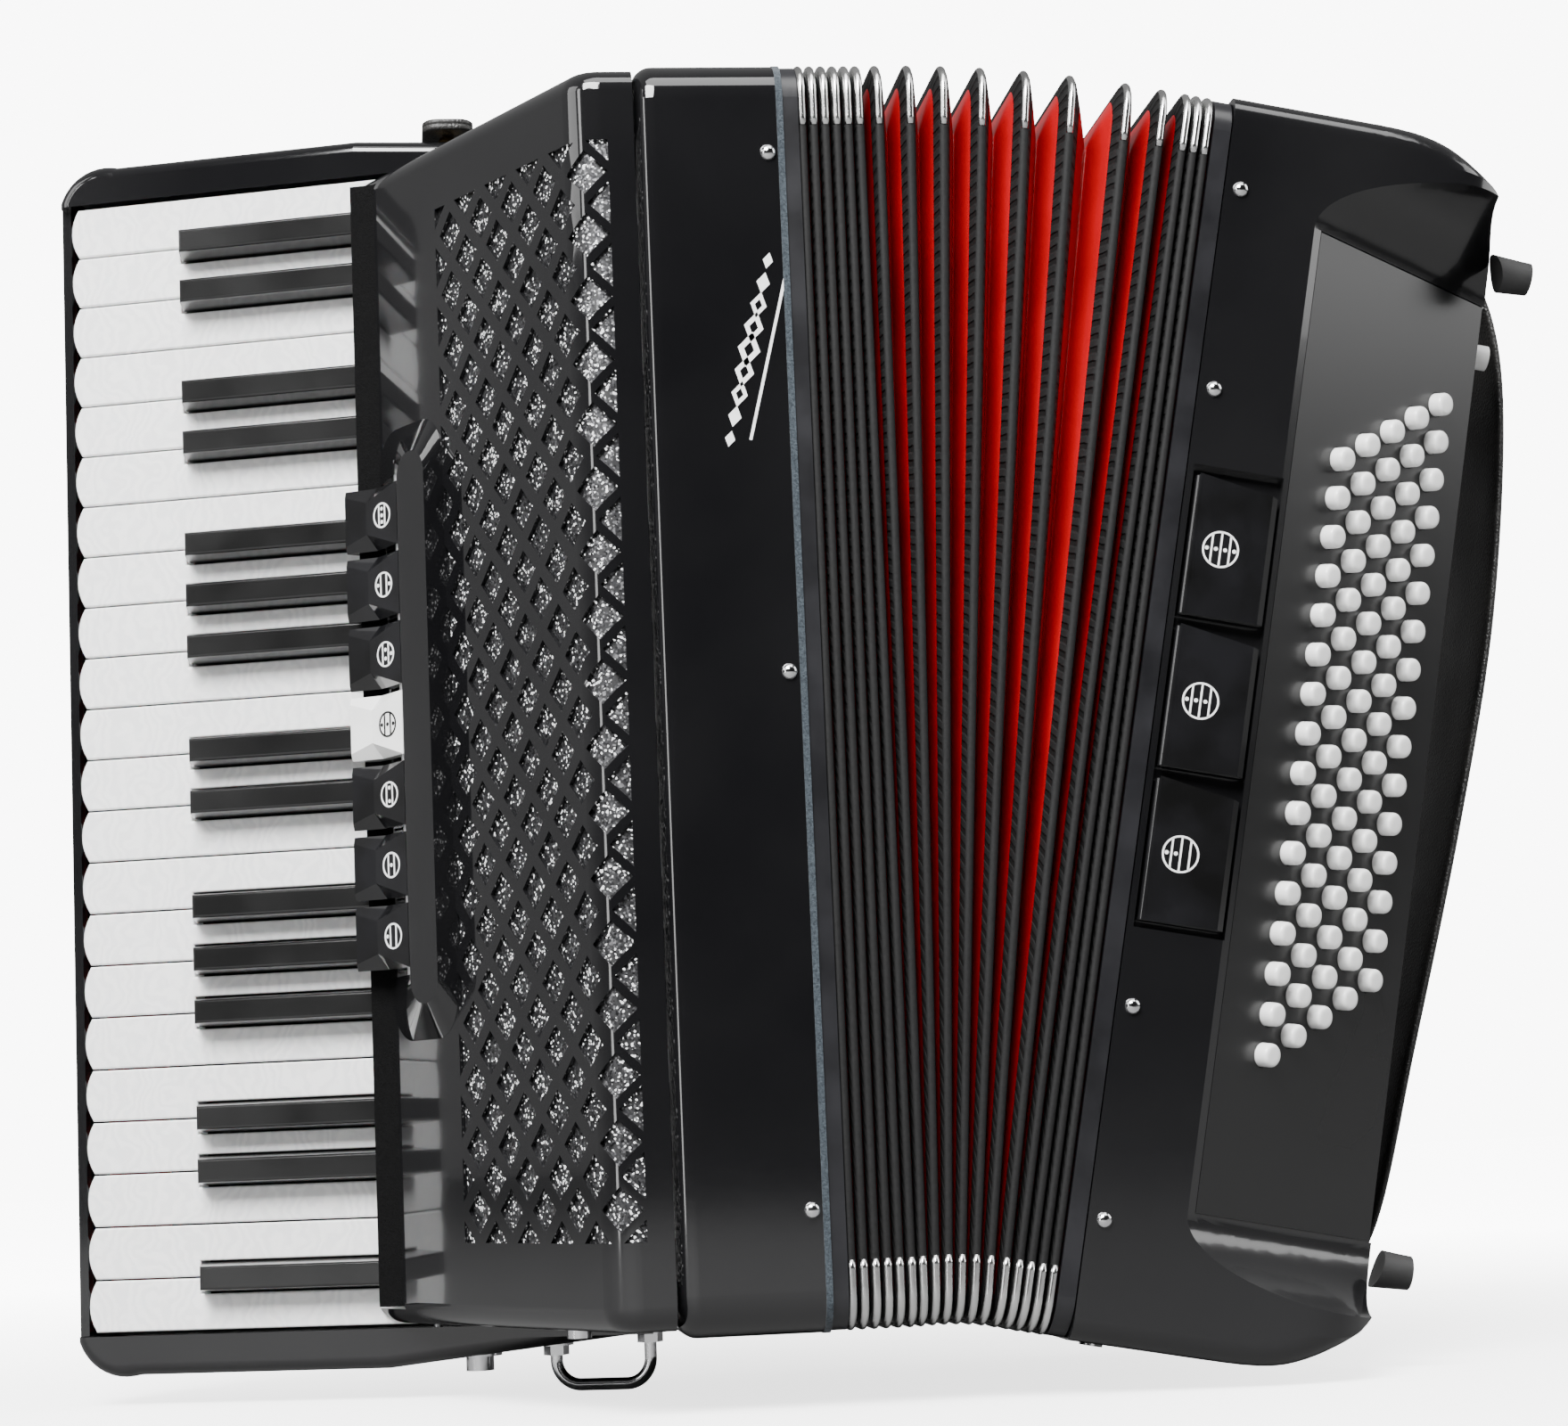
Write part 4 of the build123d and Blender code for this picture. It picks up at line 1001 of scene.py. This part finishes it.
def make_camera():
    """Camera at the photograph's viewing angle."""
    cam_data = bpy.data.cameras.new("camera")
    cam = bpy.data.objects.new("camera", cam_data)
    bpy.context.scene.collection.objects.link(cam)
    azimuth, elevation, roll = CAMERA_AZIMUTH, CAMERA_ELEVATION, CAMERA_ROLL
    back = Vector((sin(azimuth) * cos(elevation), -cos(azimuth) * cos(elevation), sin(elevation)))
    right = (-back).cross(Vector((0, 0, 1))).normalized()
    up = right.cross(-back)
    tilted_right = right * cos(roll) + up * sin(roll)
    tilted_up = up * cos(roll) - right * sin(roll)
    turn = Matrix((tilted_right, tilted_up, back)).transposed().to_4x4()
    cam.matrix_world = Matrix.Translation(CAMERA_SPOT) @ turn
    cam_data.lens = CAMERA_LENS
    cam_data.sensor_width = 36
    cam_data.clip_start = 0.05
    bpy.context.scene.camera = cam


def soft_light(name, spot, aim, size, power):
    """White area light at a spot, turned towards its aim, with its power in watts."""
    data = bpy.data.lights.new(name, "AREA")
    data.shape = "RECTANGLE"
    data.size, data.size_y = size
    data.energy = power
    obj = bpy.data.objects.new(name, data)
    bpy.context.scene.collection.objects.link(obj)
    obj.location = spot
    obj.rotation_euler = (Vector(aim) - Vector(spot)).to_track_quat("-Z", "Y").to_euler()


def make_world():
    """White for the camera, a darker room with bright sides for reflections."""
    world = bpy.data.worlds.new("studio")
    bpy.context.scene.world = world
    world.use_nodes = True
    tree = world.node_tree
    tree.nodes.clear()
    out = tree.nodes.new("ShaderNodeOutputWorld")
    mix = tree.nodes.new("ShaderNodeMixShader")
    path = tree.nodes.new("ShaderNodeLightPath")
    white = tree.nodes.new("ShaderNodeBackground")
    white.inputs["Color"].default_value = (1, 1, 1, 1)
    white.inputs["Strength"].default_value = WHITE_STRENGTH
    room = tree.nodes.new("ShaderNodeBackground")
    room.inputs["Strength"].default_value = 0.3
    coord = tree.nodes.new("ShaderNodeTexCoord")
    split = tree.nodes.new("ShaderNodeSeparateXYZ")
    tree.links.new(coord.outputs["Generated"], split.inputs["Vector"])
    shade = tree.nodes.new("ShaderNodeValToRGB")
    shade.color_ramp.elements[0].position = 0.12
    shade.color_ramp.elements[0].color = (0.05, 0.05, 0.05, 1)
    shade.color_ramp.elements[1].position = 0.6
    shade.color_ramp.elements[1].color = (1, 1, 1, 1)
    lift = tree.nodes.new("ShaderNodeMapRange")
    lift.inputs["From Min"].default_value = -1
    lift.inputs["From Max"].default_value = 1
    tree.links.new(split.outputs["Y"], lift.inputs["Value"])
    tree.links.new(lift.outputs["Result"], shade.inputs["Fac"])
    tree.links.new(shade.outputs["Color"], room.inputs["Color"])
    tree.links.new(path.outputs["Is Camera Ray"], mix.inputs["Fac"])
    tree.links.new(room.outputs["Background"], mix.inputs[1])
    tree.links.new(white.outputs["Background"], mix.inputs[2])
    tree.links.new(mix.outputs["Shader"], out.inputs["Surface"])


def floor_look():
    """Matt white that the camera sees fading into the white background."""
    mat, shader, add, wire = new_material("studio_floor")
    coord = add("ShaderNodeTexCoord").outputs["Object"]
    noise = add("ShaderNodeTexNoise", {"Vector": coord, "Scale": 3})
    pale = ramp(add, noise.outputs["Fac"], [(0.3, (0.86, 0.86, 0.86)), (0.7, (0.9, 0.9, 0.9))])
    seen = add("ShaderNodeLightPath").outputs["Is Camera Ray"]
    share = add("ShaderNodeMapRange", {"Value": seen, "To Min": 0.2, "To Max": 1.0})
    tone = add("ShaderNodeVectorMath", {0: pale, "Scale": share.outputs["Result"]}, operation="SCALE")
    wire(tone.outputs["Vector"], "Base Color")
    shader.inputs["Roughness"].default_value = 0.7
    away = add("ShaderNodeVectorMath", {0: coord}, operation="LENGTH")
    near_far = {"From Min": 0.2, "From Max": 1.3, "To Min": 2.2, "To Max": WHITE_STRENGTH}
    fade = add("ShaderNodeMapRange", {"Value": away.outputs["Value"], **near_far})
    glow = add("ShaderNodeMath", {0: fade.outputs["Result"], 1: seen}, operation="MULTIPLY")
    shader.inputs["Emission Color"].default_value = (1, 1, 1, 1)
    wire(glow.outputs[0], "Emission Strength")
    return mat


def make_floor():
    """Pale studio floor that the accordion stands on."""
    low = cad_box[0][2] - 0.0006
    size = 6.0
    points = [(-size, -size, low), (size, -size, low), (size, size, low), (-size, size, low)]
    look = floor_look()
    floor_piece = mesh_piece("studio_floor", points, [(0, 1, 2, 3)], look, smooth=False)


def make_lights():
    soft_light("key_left", (-0.9, -1.9, 1.8), (-0.05, 0, 0), (1.6, 1.3), 260)
    soft_light("fill_right", (2.0, -0.3, 0.98), (0.1, 0, 0.2), (1.3, 1.5), 24)
    soft_light("top", (0.1, -0.9, 2.0), (0, 0, 0), (2.2, 1.0), 40)
    soft_light("rim_left", (-1.9, -0.4, 1.1), (-0.1, 0, 0), (1.0, 0.9), 10)
    soft_light("strip_left", (-1.9, -1.32, 0.1), (-0.08, -0.1, 0), (0.3, 2.2), 16)


# ---------------------------------------------------------------- build

looks = make_materials()
dress_nodes(looks)
make_bellows(looks)
make_signs(looks)
make_ornament(looks)
make_buttons(looks)
make_hand_strap(looks)
make_closing_straps(looks)
make_strap_tab(looks)
make_world()
make_floor()
make_lights()
make_camera()
